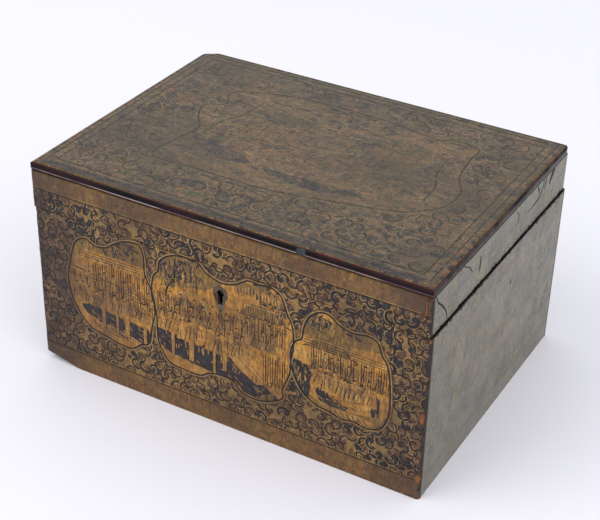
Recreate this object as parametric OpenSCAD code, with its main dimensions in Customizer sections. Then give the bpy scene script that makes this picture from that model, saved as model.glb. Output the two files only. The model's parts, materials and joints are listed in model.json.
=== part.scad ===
// Deed box of lacquered boards: a body, a hinged lid and a box lock.
// Millimetres. +Z is up, the front faces -Y, and the origin is the middle of the underside.

/* [Box] */
// Width of the body, left to right
box_w = 364; // [300:1:480]
// Depth of the body, front to back
box_d = 266; // [200:1:360]
// Height of the body, up to its rim
body_h = 152.5; // [110:0.5:240]
// Height of the lid, from its rim to its flat top
lid_h = 41.5; // [32:0.5:80]
// Gap between the body's rim and the closed lid
lid_gap = 0.3; // [0.2:0.05:0.8]
// How far the lid sits to the left of the body
lid_shift = 1.6; // [0:0.1:3]
// Radius of the upright outer corners
corner_r = 3; // [0.5:0.1:3.5]

/* [Boards] */
// Thickness of the walls of the body and the lid
wall_t = 10; // [10:0.5:14]
// Thickness of the bottom board
bottom_t = 9; // [6:0.5:14]
// Thickness of the lid's top panel, and height of the bead round it
panel_t = 7.5; // [6:0.5:10]
// Wood of the front and back boards that laps over the ends of the side boards
lap_t = 4; // [4:0.5:6]
// Width of the rebate in the walls that the bottom board sits in
seat_w = 5; // [4:0.5:7]
// Width of the bead, from the edge of the panel to the faces of the walls
bead_w = 4; // [3.5:0.5:6]
// How far the nose of the bead stands out from the walls
bead_out = 0.6; // [0.5:0.1:2]

/* [Bamboo pins] */
// Radius of a pin
pin_r = 1.2; // [0.8:0.1:1.6]
// Length of a pin
pin_l = 20; // [14:1:24]
// Depth of a pin's end below the lacquered surface
pin_cover = 0.8; // [0.5:0.1:1.5]
// Pins in each corner of the body
body_corner_pins_n = 4; // [2:1:6]
// Distance of the outermost corner pins from the ends of the body's corner
body_pin_margin = 25; // [22:1:32]
// Distance of the two corner pins from the top and bottom of the lid's walls
lid_pin_margin = 8; // [5:0.5:10]
// Spacing of the pins along the long edges of the bottom and the top panel
long_pin_step = 86; // [50:1:90]
// Spacing of the pins along the short edges of the bottom and the top panel
short_pin_step = 78; // [40:1:80]

/* [Hinges] */
// Distance of the middle of each hinge from the end of the body
hinge_end = 74; // [72:1:110]
// Length of each hinge
hinge_l = 44; // [36:1:60]
// Width of a leaf on the rim
leaf_w = 8.5; // [7:0.1:8.9]
// Thickness of a leaf
leaf_t = 1.6; // [1.2:0.1:2]
// Outer radius of the barrel
barrel_r = 3; // [2.6:0.1:3.5]
// Gap between the back wall and the barrel
barrel_gap = 0.5; // [0.3:0.1:1]
// Radius of the hinge pin
hinge_pin_r = 1.2; // [0.9:0.1:1.6]
// Radial running clearance between the hinge pin and the knuckles
pin_clear = 0.05; // [0.02:0.01:0.1]
// Knuckles in each barrel, the outer ones on the body
knuckles_n = 5; // [3:2:7]
// Thickness of the stop strips behind the barrel
stop_t = 2.5; // [2:0.1:3]
// Angle through which the lid opens before the stops meet
open_angle = 100; // [92:1:110]
// Gap left between the stops at that angle, in degrees
stop_slack = 2; // [1:0.5:4]

/* [Lock] */
// Width of the lock case
case_w = 52; // [52:1:60]
// Height of the lock case, its top plate included
case_h = 37; // [36:0.5:45]
// Thickness of the case's plates and of its cap
plate_t = 1; // [0.8:0.1:1.2]
// Room inside the case, front to back
room_t = 5.4; // [5:0.1:5.6]
// Length of the top plate, let into the rim
top_plate_l = 68; // [66:1:76]
// Width of the top plate
top_plate_w = 8.4; // [8:0.1:8.6]
// Thickness of the top plate and of the link plate
top_plate_t = 2; // [1.5:0.1:2.5]
// Depth of the key's axis below the rim
key_drop = 23.1; // [22:0.1:24]
// Radius of the round part of the keyhole
keyhole_r = 3.1; // [2.6:0.1:3.4]
// Width of the slot of the keyhole
key_slot_w = 4.4; // [4.2:0.1:4.8]
// Reach of the keyhole's slot and of the key's bit from the key's axis
key_reach = 10.2; // [9.8:0.1:10.6]
// Radius of the pin that the key turns on
drill_pin_r = 1.1; // [0.8:0.1:1.4]
// Travel of the bolt
bolt_travel = 5; // [4:0.1:5]
// Distance of each link from the middle of the lock
link_x = 13; // [13:0.1:13.5]
// Thickness of a link, along the bolt's travel
link_t = 2.4; // [2:0.1:2.6]
// Width of a link, front to back
link_w = 4.4; // [4.2:0.1:4.4]
// Length of a link below the lid's rim
link_drop = 10.2; // [9.8:0.1:10.4]
// Thickness of the bolt's tongues
tongue_t = 1.5; // [1.2:0.1:1.6]
// Height of the bolt's tongues
tongue_h = 3.4; // [2.6:0.1:3.6]
// Clearance round the bolt and its tongues
bolt_clear = 0.3; // [0.2:0.05:0.4]
// Radius of the two studs that carry the bolt
stud_r = 1.2; // [1:0.1:1.3]
// Thickness of the steel spring
spring_t = 0.5; // [0.4:0.05:0.8]

/* [Escutcheon] */
// Radius of the round top of the escutcheon
drop_r = 8.5; // [6:0.1:9]
// Length of the escutcheon's point below the key's axis
drop_l = 21; // [16:0.5:24]
// Thickness of the escutcheon
drop_t = 1.2; // [0.8:0.1:1.4]

/* [Screws] */
// Radius of a screw's shank
screw_r = 0.9; // [0.7:0.1:1]
// Radius of a screw's head
head_r = 1.8; // [1.5:0.1:2]
// Height of a screw's countersunk head
head_h = 1.1; // [0.9:0.1:1.2]
// Length of the screws in the hinges and the lock
screw_l = 10; // [7:0.5:12]
// Radius of the shanks of the small screws in the lock's cap
cap_screw_r = 0.6; // [0.5:0.05:0.7]
// Clearance of screws, bamboo pins and fitted plates in their seats
fit_clear = 0.05; // [0.03:0.01:0.1]

/* [Hidden] */
$fn = 64;

// Levels of the box
lid_z = body_h + lid_gap;
lid_top = lid_z + lid_h;
rail_h = lid_h - panel_t;
inner_w = box_w - 2 * wall_t;
inner_d = box_d - 2 * wall_t;
cut = 1;

// Hinges
hinge_x = box_w / 2 - hinge_end;
axis_y = box_d / 2 + barrel_gap + barrel_r;
axis_z = body_h + lid_gap / 2;
swing_gap = 0.3;
knuckle_l = hinge_l / knuckles_n;
knuckle_gap = 0.3;
stop_angle = (open_angle + stop_slack) / 2;
stop_span = 68;
leaf_screws_n = 3;
leaf_screw_step = (hinge_l - 14) / (leaf_screws_n - 1);
pin_head_t = 0.8;
pin_head_r = barrel_r - 1;

// Lock, front to back: the cap lies flush with the inside of the front board
cap_y = -box_d / 2 + wall_t;
room_y = cap_y - plate_t;
lock_y = room_y - room_t / 2;
case_front_y = room_y - room_t - plate_t;
top_plate_y = cap_y - top_plate_w;

// Lock, levels
key_z = body_h - key_drop;
room_top = body_h - top_plate_t;
room_floor = body_h - case_h + plate_t;
link_tip = lid_z - link_drop;
link_web = 1.4;
eye_bottom = link_tip + link_web;
tongue_z = eye_bottom + bolt_clear;
bar_top = link_tip - 0.4;
talon_top = key_z + key_reach + 0.3;
bar_bottom = talon_top - 3.4;
bit_half = 1.7;
talon_chord = sqrt(pow(key_reach, 2) - pow(bar_bottom - key_z, 2)) + bit_half;

// Lock, left to right: the bolt is drawn back to the left
tongue_l = bolt_travel + 0.2;
post_w = 3;
room_half = case_w / 2 - plate_t;
tip_gap = 0.6;
left_tip = -link_x - link_t / 2 - tip_gap;
right_tip = link_x - link_t / 2 - tip_gap;
bar_left = left_tip - tongue_l - post_w - 0.2;
bar_right = room_half - 0.5 - bolt_travel;
stud_left = -15;
stud_right = 14;
stud_z = (bar_top + bar_bottom) / 2;
slot_gap = 0.5;
cap_post_r = 1.7;
cap_post_bite = 0.4;
cap_post_x = room_half - cap_post_r + cap_post_bite;
cap_post_low = room_floor + cap_post_r - cap_post_bite;
cap_post_high = room_top - cap_post_r + cap_post_bite;
cap_screw_l = 4.5;
lock_screw_x = (top_plate_l + case_w) / 4;
spring_r = 6;
spring_w = 3.6;
spring_end = 20;

lacquer = "#2b2320";
gilding = "#8a6a36";
bamboo = "#b08d57";
brass = "#9c7f43";
steel = "#6d7075";
dark_metal = "#5a5850";

// Shared shapes

module rounded_rect(w, d, r) {
    square([w - 2 * r, d], center = true);
    square([w, d - 2 * r], center = true);
    for (sx = [-1, 1], sy = [-1, 1])
        translate([sx * (w / 2 - r), sy * (d / 2 - r)])
            circle(r = r);
}

// Everything inside the rounded outline of the box, between two levels
module box_outline(z, h) {
    translate([0, 0, z])
        linear_extrude(h)
            rounded_rect(box_w, box_d, corner_r);
}

module on_lid() {
    translate([-lid_shift, 0, 0])
        children();
}

module block(x, y, z) {
    translate([x[0], y[0], z[0]])
        cube([x[1] - x[0], y[1] - y[0], z[1] - z[0]]);
}

// Front or back wall, drawn at the front, with rebates for the ends of the side walls
module long_wall(z, h) {
    difference() {
        intersection() {
            block([-box_w / 2, box_w / 2], [-box_d / 2, -inner_d / 2], [z, z + h]);
            box_outline(z, h);
        }
        for (side = [-1, 1])
            translate([side * (box_w / 2 + cut), 0, 0])
                block([-wall_t - cut, wall_t + cut], [-box_d / 2 + lap_t, 0], [z - cut, z + h + cut]);
    }
}

// Right-hand wall, between the laps of the long walls
module short_wall(z, h) {
    block([inner_w / 2, box_w / 2], [-box_d / 2 + lap_t, box_d / 2 - lap_t], [z, z + h]);
}

module bottom_block() {
    block([-inner_w / 2 - seat_w, inner_w / 2 + seat_w],
          [-inner_d / 2 - seat_w, inner_d / 2 + seat_w], [0, bottom_t]);
}

module bottom_seat() {
    translate([0, 0, -cut])
        linear_extrude(bottom_t + cut)
            square([inner_w + 2 * seat_w, inner_d + 2 * seat_w], center = true);
}

// Bamboo pins

module corner_pins(levels, grow) {
    for (sx = [-1, 1], sy = [-1, 1], z = levels)
        translate([sx * (box_w - wall_t) / 2, sy * (box_d / 2 - pin_cover + grow), z])
            rotate([sy * 90, 0, 0])
                cylinder(r = pin_r + grow, h = pin_l + 2 * grow);
}

// Upright pins through the edges of a flat board, from their lowest point up
module edge_pins(inset, z, grow) {
    long_y = inner_d / 2 + inset;
    short_x = inner_w / 2 + inset;
    for (i = [-1.5, -0.5, 0.5, 1.5], side = [-1, 1])
        translate([i * long_pin_step, side * long_y, z - grow])
            cylinder(r = pin_r + grow, h = pin_l + 2 * grow);
    for (i = [-1, 0, 1], side = [-1, 1])
        translate([side * short_x, i * short_pin_step, z - grow])
            cylinder(r = pin_r + grow, h = pin_l + 2 * grow);
}

body_pin_levels = [for (i = [0 : body_corner_pins_n - 1])
    body_pin_margin + i * (body_h - 2 * body_pin_margin) / (body_corner_pins_n - 1)];
lid_pin_levels = [lid_z + lid_pin_margin, lid_z + rail_h - lid_pin_margin];

module body_corner_pin_set(grow = 0) {
    corner_pins(body_pin_levels, grow);
}

module lid_corner_pin_set(grow = 0) {
    on_lid()
        corner_pins(lid_pin_levels, grow);
}

module bottom_pin_set(grow = 0) {
    edge_pins(seat_w / 2, pin_cover, grow);
}

module panel_pin_set(grow = 0) {
    on_lid()
        edge_pins((wall_t - bead_w) / 2, lid_top - pin_cover - pin_l, grow);
}

// Screws, with the head's flat top at z = 0 and the point down

module screw(length, shank, grow = 0) {
    tip = 2;
    translate([0, 0, -head_h])
        cylinder(h = head_h + grow, r1 = shank + grow, r2 = head_r + grow);
    translate([0, 0, -length + tip])
        cylinder(h = length - tip - head_h, r = shank + grow);
    translate([0, 0, -length - grow])
        cylinder(h = tip + grow, r1 = 0.2 + grow, r2 = shank + grow);
}

module slotted_screw(length, shank) {
    difference() {
        screw(length, shank);
        block([-head_r - cut, head_r + cut], [-0.25, 0.25], [-0.5, cut]);
    }
}

module leaf_screw_places() {
    for (side = [-1, 1], i = [0 : leaf_screws_n - 1])
        translate([side * hinge_x + (i - (leaf_screws_n - 1) / 2) * leaf_screw_step,
                   box_d / 2 - leaf_w / 2, 0])
            children();
}

module at_body_leaf_screws() {
    leaf_screw_places()
        translate([0, 0, body_h])
            children();
}

module at_lid_leaf_screws() {
    leaf_screw_places()
        translate([0, 0, lid_z])
            mirror([0, 0, 1])
                children();
}

module at_lock_screws() {
    for (side = [-1, 1])
        translate([side * lock_screw_x, lock_y, body_h])
            children();
}

module at_link_screws() {
    for (side = [-1, 1])
        translate([side * lock_screw_x, lock_y, lid_z])
            mirror([0, 0, 1])
                children();
}

module at_cap_screws() {
    for (side = [-1, 1], z = [cap_post_low, cap_post_high])
        translate([side * cap_post_x, cap_y, z])
            rotate([-90, 0, 0])
                children();
}

// Keyhole: a round hole over a slot, as a prism along Y
module keyhole(y0, y1, grow = 0) {
    translate([0, y1, key_z])
        rotate([90, 0, 0])
            linear_extrude(y1 - y0) {
                circle(r = keyhole_r + grow);
                translate([-key_slot_w / 2 - grow, -key_reach - grow])
                    square([key_slot_w + 2 * grow, key_reach]);
            }
}

// Drop-shaped outline of the escutcheon: a circle with tangents down to a point
module drop_shape(grow = 0) {
    r = drop_r + grow;
    l = drop_l + grow * drop_l / drop_r;
    slope = asin(r / l);
    circle(r = r);
    polygon([[0, -l], [r * cos(slope), -r * sin(slope)], [0, 0], [-r * cos(slope), -r * sin(slope)]]);
}

module drop_plate(y0, y1, grow = 0) {
    translate([0, y1, key_z])
        rotate([90, 0, 0])
            linear_extrude(y1 - y0)
                drop_shape(grow);
}

// Body

module leaf_seats(z0, z1) {
    for (side = [-1, 1])
        block([side * hinge_x - hinge_l / 2 - fit_clear, side * hinge_x + hinge_l / 2 + fit_clear],
              [box_d / 2 - leaf_w - fit_clear, box_d / 2 + cut], [z0, z1]);
}

module lock_seat() {
    block([-case_w / 2 - fit_clear, case_w / 2 + fit_clear],
          [case_front_y - fit_clear, cap_y + cut], [body_h - case_h - fit_clear, body_h + cut]);
    block([-top_plate_l / 2 - fit_clear, top_plate_l / 2 + fit_clear],
          [top_plate_y - fit_clear, cap_y + cut], [body_h - top_plate_t - fit_clear, body_h + cut]);
}

module front_board() {
    color(gilding)
        difference() {
            long_wall(0, body_h);
            bottom_seat();
            body_corner_pin_set(fit_clear);
            bottom_pin_set(fit_clear);
            lock_seat();
            at_lock_screws()
                screw(screw_l, screw_r, fit_clear);
            keyhole(-box_d / 2 - cut, lock_y);
            drop_plate(-box_d / 2 - cut, -box_d / 2 + drop_t + fit_clear, fit_clear);
        }
}

module back_board() {
    color(lacquer)
        difference() {
            rotate([0, 0, 180])
                long_wall(0, body_h);
            bottom_seat();
            body_corner_pin_set(fit_clear);
            bottom_pin_set(fit_clear);
            leaf_seats(body_h - leaf_t - fit_clear, body_h + cut);
            at_body_leaf_screws()
                screw(screw_l, screw_r, fit_clear);
        }
}

module side_board(turn) {
    color(lacquer)
        difference() {
            rotate([0, 0, turn])
                short_wall(0, body_h);
            bottom_seat();
            body_corner_pin_set(fit_clear);
            bottom_pin_set(fit_clear);
        }
}

module left_board() {
    side_board(180);
}

module right_board() {
    side_board(0);
}

module bottom_board() {
    color(lacquer)
        difference() {
            bottom_block();
            bottom_pin_set(fit_clear);
        }
}

module body_corner_pins() {
    color(bamboo)
        body_corner_pin_set();
}

module bottom_pins() {
    color(bamboo)
        bottom_pin_set();
}

// Lid

module lid_panel() {
    color(lacquer)
        difference() {
            on_lid()
                block([-box_w / 2 + bead_w, box_w / 2 - bead_w],
                      [-box_d / 2 + bead_w, box_d / 2 - bead_w], [lid_top - panel_t, lid_top]);
            panel_pin_set(fit_clear);
        }
}

module lid_front_rail() {
    color(gilding)
        difference() {
            on_lid()
                long_wall(lid_z, rail_h);
            lid_corner_pin_set(fit_clear);
            panel_pin_set(fit_clear);
            block([-top_plate_l / 2 - fit_clear, top_plate_l / 2 + fit_clear],
                  [top_plate_y - fit_clear, cap_y + cut],
                  [lid_z - cut, lid_z + top_plate_t + fit_clear]);
            at_link_screws()
                screw(screw_l, screw_r, fit_clear);
        }
}

module lid_back_rail() {
    color(lacquer)
        difference() {
            on_lid()
                rotate([0, 0, 180])
                    long_wall(lid_z, rail_h);
            lid_corner_pin_set(fit_clear);
            panel_pin_set(fit_clear);
            leaf_seats(lid_z - cut, lid_z + leaf_t + fit_clear);
            at_lid_leaf_screws()
                screw(screw_l, screw_r, fit_clear);
        }
}

module lid_side_rail(turn) {
    color(lacquer)
        difference() {
            on_lid()
                rotate([0, 0, turn])
                    short_wall(lid_z, rail_h);
            lid_corner_pin_set(fit_clear);
            panel_pin_set(fit_clear);
        }
}

module lid_left_rail() {
    lid_side_rail(180);
}

module lid_right_rail() {
    lid_side_rail(0);
}

module bead_profile() {
    flat_w = bead_w + bead_out - panel_t / 2;
    intersection() {
        union() {
            square([flat_w, panel_t]);
            translate([flat_w, panel_t / 2])
                circle(r = panel_t / 2);
        }
        square([bead_w + bead_out, panel_t]);
    }
}

// One mitred length of the bead, on the side that faces +Y before it is turned
module bead(run, across, turn) {
    inner_x = run / 2 - bead_w;
    inner_y = across / 2 - bead_w;
    outer_x = run / 2 + bead_out;
    outer_y = across / 2 + bead_out;
    color(lacquer)
        on_lid()
            rotate([0, 0, turn])
                translate([0, 0, lid_top - panel_t])
                    intersection() {
                        translate([0, inner_y, 0])
                            rotate([90, 0, 90])
                                linear_extrude(2 * outer_x, center = true)
                                    bead_profile();
                        linear_extrude(panel_t)
                            polygon([[-inner_x, inner_y], [inner_x, inner_y],
                                     [outer_x, outer_y], [-outer_x, outer_y]]);
                        linear_extrude(panel_t)
                            rounded_rect(2 * outer_x, 2 * outer_y, corner_r + bead_out);
                    }
}

module bead_front() {
    bead(box_w, box_d, 180);
}

module bead_back() {
    bead(box_w, box_d, 0);
}

module bead_left() {
    bead(box_d, box_w, 90);
}

module bead_right() {
    bead(box_d, box_w, -90);
}

module lid_corner_pins() {
    color(bamboo)
        lid_corner_pin_set();
}

module lid_panel_pins() {
    color(bamboo)
        panel_pin_set();
}

// Hinges

// Part of a ring round the hinge axis, between two radii and two angles
module ring_part(r0, r1, from, span) {
    far = 4 * r1;
    intersection() {
        difference() {
            circle(r = r1);
            circle(r = r0);
        }
        polygon([[0, 0], far * [cos(from), sin(from)],
                 far * [cos(from + span / 2), sin(from + span / 2)],
                 far * [cos(from + span), sin(from + span)]]);
    }
}

// Prism along X from a shape in the Y-Z plane
module along_x(from, to) {
    translate([from, 0, 0])
        rotate([90, 0, 90])
            linear_extrude(to - from)
                children();
}

// Upper leaf of a hinge, about its own axis; the lower one is its mirror image
module leaf(own) {
    plate_low = lid_gap / 2;
    difference() {
        union() {
            block([-hinge_l / 2, hinge_l / 2],
                  [-barrel_gap - barrel_r - leaf_w, -barrel_r - swing_gap],
                  [plate_low, plate_low + leaf_t]);
            along_x(-hinge_l / 2, hinge_l / 2)
                ring_part(barrel_r + swing_gap, barrel_r + swing_gap + stop_t, stop_angle, stop_span);
            for (i = own)
                along_x(-hinge_l / 2 + i * knuckle_l + knuckle_gap / 2,
                        -hinge_l / 2 + (i + 1) * knuckle_l - knuckle_gap / 2) {
                    circle(r = barrel_r);
                    translate([-barrel_r - swing_gap - cut, plate_low])
                        square([barrel_r + swing_gap + cut, leaf_t]);
                    ring_part(hinge_pin_r + cut, barrel_r + swing_gap + cut, stop_angle + 4, stop_span - 8);
                }
        }
        along_x(-hinge_l, hinge_l)
            circle(r = hinge_pin_r + pin_clear);
    }
}

module at_hinge(side) {
    translate([side * hinge_x, axis_y, axis_z])
        children();
}

body_knuckles = [for (i = [0 : 2 : knuckles_n - 1]) i];
lid_knuckles = [for (i = [1 : 2 : knuckles_n - 2]) i];

module body_leaf(side) {
    color(brass)
        difference() {
            at_hinge(side)
                mirror([0, 0, 1])
                    leaf(body_knuckles);
            at_body_leaf_screws()
                screw(screw_l, screw_r, fit_clear);
        }
}

module lid_leaf(side) {
    color(brass)
        difference() {
            at_hinge(side)
                leaf(lid_knuckles);
            at_lid_leaf_screws()
                screw(screw_l, screw_r, fit_clear);
        }
}

module hinge_pin(side) {
    half = hinge_l / 2 - knuckle_gap / 2 + 0.1;
    color(brass)
        at_hinge(side) {
            along_x(-half - pin_head_t / 2, half + pin_head_t / 2)
                circle(r = hinge_pin_r);
            for (end = [-1, 1])
                along_x(end * (half + pin_head_t / 2) - pin_head_t / 2,
                        end * (half + pin_head_t / 2) + pin_head_t / 2)
                    circle(r = pin_head_r);
        }
}

module left_hinge_body_leaf() {
    body_leaf(-1);
}

module left_hinge_lid_leaf() {
    lid_leaf(-1);
}

module left_hinge_pin() {
    hinge_pin(-1);
}

module right_hinge_body_leaf() {
    body_leaf(1);
}

module right_hinge_lid_leaf() {
    lid_leaf(1);
}

module right_hinge_pin() {
    hinge_pin(1);
}

module hinge_body_screws() {
    color(brass)
        at_body_leaf_screws()
            slotted_screw(screw_l, screw_r);
}

module hinge_lid_screws() {
    color(brass)
        at_lid_leaf_screws()
            slotted_screw(screw_l, screw_r);
}

// Lock

module along_y(from, to) {
    translate([0, to, 0])
        rotate([90, 0, 0])
            linear_extrude(to - from)
                children();
}

// Case: top plate, front plate, side and bottom walls, cap posts and the bolt's two studs
module lock_case() {
    color(brass)
        difference() {
            union() {
                block([-top_plate_l / 2, top_plate_l / 2], [top_plate_y, cap_y], [room_top, body_h]);
                difference() {
                    block([-case_w / 2, case_w / 2], [case_front_y, room_y], [body_h - case_h, room_top]);
                    block([-room_half, room_half], [case_front_y + plate_t, room_y + cut],
                          [room_floor, room_top]);
                }
                along_y(case_front_y, room_y)
                    for (side = [-1, 1], z = [cap_post_low, cap_post_high])
                        translate([side * cap_post_x, z])
                            circle(r = cap_post_r);
                along_y(case_front_y, room_y)
                    for (x = [stud_left, stud_right])
                        translate([x, stud_z])
                            circle(r = stud_r);
            }
            keyhole(case_front_y - cut, lock_y, fit_clear);
            for (side = [-1, 1])
                block([side * link_x - link_t / 2 - slot_gap, side * link_x + link_t / 2 + slot_gap],
                      [lock_y - room_t / 2, lock_y + room_t / 2], [room_top - cut, body_h + cut]);
            at_cap_screws()
                screw(cap_screw_l, cap_screw_r, fit_clear);
            at_lock_screws()
                screw(screw_l, screw_r, fit_clear);
        }
}

module lock_cap() {
    color(brass)
        difference() {
            block([-case_w / 2, case_w / 2], [room_y, cap_y], [body_h - case_h, room_top]);
            at_cap_screws()
                screw(cap_screw_l, cap_screw_r, fit_clear);
            along_y(room_y - cut, cap_y + cut)
                translate([0, key_z])
                    circle(r = drill_pin_r + fit_clear);
        }
}

// Bolt: a bar on two studs, with a notch for the key and two tongues on posts
module lock_bolt() {
    bar_t = room_t - 2 * bolt_clear + 0.2;
    color(brass)
        difference() {
            union() {
                block([bar_left, bar_right], [lock_y - bar_t / 2, lock_y + bar_t / 2],
                      [bar_bottom, bar_top]);
                for (tip = [left_tip, right_tip]) {
                    block([tip - tongue_l - post_w, tip - tongue_l],
                          [lock_y - tongue_t / 2, lock_y + tongue_t / 2], [bar_bottom, tongue_z + tongue_h]);
                    block([tip - tongue_l - post_w, tip],
                          [lock_y - tongue_t / 2, lock_y + tongue_t / 2], [tongue_z, tongue_z + tongue_h]);
                }
            }
            block([-talon_chord, talon_chord - bolt_travel], [lock_y - room_t, lock_y + room_t],
                  [bar_bottom - cut, talon_top]);
            along_y(lock_y - room_t, lock_y + room_t)
                for (x = [stud_left, stud_right]) {
                    translate([x, stud_z])
                        circle(r = stud_r + fit_clear);
                    translate([x - bolt_travel, stud_z])
                        circle(r = stud_r + fit_clear);
                    translate([x - bolt_travel, stud_z - stud_r - fit_clear])
                        square([bolt_travel, 2 * (stud_r + fit_clear)]);
                }
        }
}

// Spring: a leg against the left wall of the case, bent over to press up on the bar
module lock_spring() {
    middle_x = -room_half + spring_r;
    middle_z = bar_bottom - 0.2 - spring_r;
    color(steel)
        along_y(lock_y - spring_w / 2, lock_y + spring_w / 2) {
            translate([middle_x, middle_z])
                intersection() {
                    difference() {
                        circle(r = spring_r);
                        circle(r = spring_r - spring_t);
                    }
                    polygon([[0, 0], 3 * spring_r * [cos(spring_end), sin(spring_end)],
                             3 * spring_r * [0, 1], 3 * spring_r * [-1, 1], 3 * spring_r * [-1, 0]]);
                }
            translate([-room_half, cap_post_low + cap_post_r])
                square([spring_t, middle_z - cap_post_low - cap_post_r]);
        }
}

module drill_pin() {
    color(steel)
        along_y(case_front_y - 0.6, cap_y)
            translate([0, key_z])
                circle(r = drill_pin_r);
}

module lock_cap_screws() {
    color(brass)
        at_cap_screws()
            slotted_screw(cap_screw_l, cap_screw_r);
}

module lock_screws() {
    color(brass)
        at_lock_screws()
            slotted_screw(screw_l, screw_r);
}

// Link plate in the lid's rim, with a mortise for each link
module link_plate() {
    color(brass)
        difference() {
            block([-top_plate_l / 2, top_plate_l / 2], [top_plate_y, cap_y],
                  [lid_z, lid_z + top_plate_t]);
            for (side = [-1, 1])
                link_block(side, lid_z - cut, lid_z + top_plate_t + cut, fit_clear);
            at_link_screws()
                screw(screw_l, screw_r, fit_clear);
        }
}

module link_block(side, z0, z1, grow = 0) {
    half_t = link_t / 2 + grow;
    half_w = link_w / 2 + grow;
    block([side * link_x - half_t, side * link_x + half_t], [lock_y - half_w, lock_y + half_w], [z0, z1]);
}

// A link: a tongue of brass set in the plate, with an eye that the bolt enters
module link(side) {
    color(brass)
        difference() {
            link_block(side, link_tip, lid_z + top_plate_t);
            block([side * link_x - link_t, side * link_x + link_t],
                  [lock_y - tongue_t / 2 - bolt_clear, lock_y + tongue_t / 2 + bolt_clear],
                  [eye_bottom, tongue_z + tongue_h + bolt_clear]);
        }
}

module left_link() {
    link(-1);
}

module right_link() {
    link(1);
}

module link_screws() {
    color(brass)
        at_link_screws()
            slotted_screw(screw_l, screw_r);
}

module key_escutcheon() {
    color(dark_metal)
        difference() {
            drop_plate(-box_d / 2, -box_d / 2 + drop_t);
            keyhole(-box_d / 2 - cut, -box_d / 2 + drop_t + cut);
        }
}

front_board();
back_board();
left_board();
right_board();
bottom_board();
body_corner_pins();
bottom_pins();
lid_panel();
lid_front_rail();
lid_back_rail();
lid_left_rail();
lid_right_rail();
bead_front();
bead_back();
bead_left();
bead_right();
lid_corner_pins();
lid_panel_pins();
left_hinge_body_leaf();
left_hinge_lid_leaf();
left_hinge_pin();
right_hinge_body_leaf();
right_hinge_lid_leaf();
right_hinge_pin();
hinge_body_screws();
hinge_lid_screws();
lock_case();
lock_cap();
lock_bolt();
lock_spring();
drill_pin();
lock_cap_screws();
lock_screws();
link_plate();
left_link();
right_link();
link_screws();
key_escutcheon();
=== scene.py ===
import json
import math
import random

import bmesh
import bpy
from mathutils import Matrix, Vector
from mathutils.geometry import delaunay_2d_cdt

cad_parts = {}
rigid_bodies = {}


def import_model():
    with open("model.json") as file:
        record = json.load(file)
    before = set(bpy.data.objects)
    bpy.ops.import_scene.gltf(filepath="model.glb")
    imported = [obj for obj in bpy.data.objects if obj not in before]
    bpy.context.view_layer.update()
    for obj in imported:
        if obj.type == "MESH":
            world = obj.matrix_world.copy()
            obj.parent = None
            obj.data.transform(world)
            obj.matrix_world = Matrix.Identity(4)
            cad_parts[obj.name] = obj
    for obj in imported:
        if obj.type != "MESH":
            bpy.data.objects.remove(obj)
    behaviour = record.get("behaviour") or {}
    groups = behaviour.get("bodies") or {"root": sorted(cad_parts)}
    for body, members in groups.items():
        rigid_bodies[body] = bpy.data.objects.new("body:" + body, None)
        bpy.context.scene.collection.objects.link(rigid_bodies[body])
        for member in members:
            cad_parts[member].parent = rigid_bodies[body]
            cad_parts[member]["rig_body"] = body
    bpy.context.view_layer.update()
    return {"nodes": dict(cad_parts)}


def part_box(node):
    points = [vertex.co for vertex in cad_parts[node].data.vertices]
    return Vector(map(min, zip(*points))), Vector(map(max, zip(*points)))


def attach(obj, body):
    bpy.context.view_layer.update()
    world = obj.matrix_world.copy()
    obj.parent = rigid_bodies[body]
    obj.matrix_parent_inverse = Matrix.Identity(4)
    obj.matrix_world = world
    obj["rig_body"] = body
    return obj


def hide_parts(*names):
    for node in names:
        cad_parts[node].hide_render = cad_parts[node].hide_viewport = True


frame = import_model()
nodes = frame["nodes"]
MM = 0.001


def linked(name, data):
    """A new object in the scene."""
    made = bpy.data.objects.new(name, data)
    bpy.context.scene.collection.objects.link(made)
    return made


# Camera: place, directions and lens as fitted to the box's edges in the photograph
LENS, SENSOR, NEAREST = 86.74, 36, 0.05
CAMERA_PLACE = (0.5145, -0.9298, 0.7529)
RIGHT = Vector((0.86636, 0.49890, 0.02269))
DOWN = Vector((0.28088, -0.44919, -0.84814))
AHEAD = Vector((-0.41295, 0.74117, -0.52929))
camera = linked("camera", bpy.data.cameras.new("camera"))
camera.data.sensor_width = SENSOR
camera.data.lens = LENS
camera.data.clip_start = NEAREST
turn = Matrix((RIGHT, -DOWN, -AHEAD)).transposed().to_4x4()
camera.matrix_world = Matrix.Translation(CAMERA_PLACE) @ turn
bpy.context.scene.camera = camera


# Materials

def rgb(red, green, blue):
    """A colour written as on a screen, 0 to 255, in the linear form that a shader takes."""
    parts = [c / 255 for c in (red, green, blue)]
    return tuple(c / 12.92 if c <= 0.04045 else ((c + 0.055) / 1.055) ** 2.4 for c in parts) + (1,)


class Nodes:
    """A short way to write a node tree. A setting that is a socket is linked."""

    def __init__(self, tree):
        self.tree = tree
        tree.nodes.clear()

    def node(self, kind, inputs=None, **settings):
        made = self.tree.nodes.new(kind)
        for key, value in settings.items():
            setattr(made, key, value)
        for key, value in (inputs or {}).items():
            if isinstance(value, bpy.types.NodeSocket):
                self.tree.links.new(value, made.inputs[key])
            else:
                made.inputs[key].default_value = value
        return made

    def math(self, operation, a, b=0.0):
        return self.node("ShaderNodeMath", {0: a, 1: b}, operation=operation).outputs[0]

    def chain(self, operation, values):
        result = values[0]
        for value in values[1:]:
            result = self.math(operation, result, value)
        return result

    def most(self, *values):
        return self.chain("MAXIMUM", values)

    def times(self, *values):
        return self.chain("MULTIPLY", values)

    def mix(self, share, a, b, blend="MIX"):
        inputs = {0: share, 6: a, 7: b}
        return self.node("ShaderNodeMix", inputs, data_type="RGBA", blend_type=blend).outputs[2]


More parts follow.
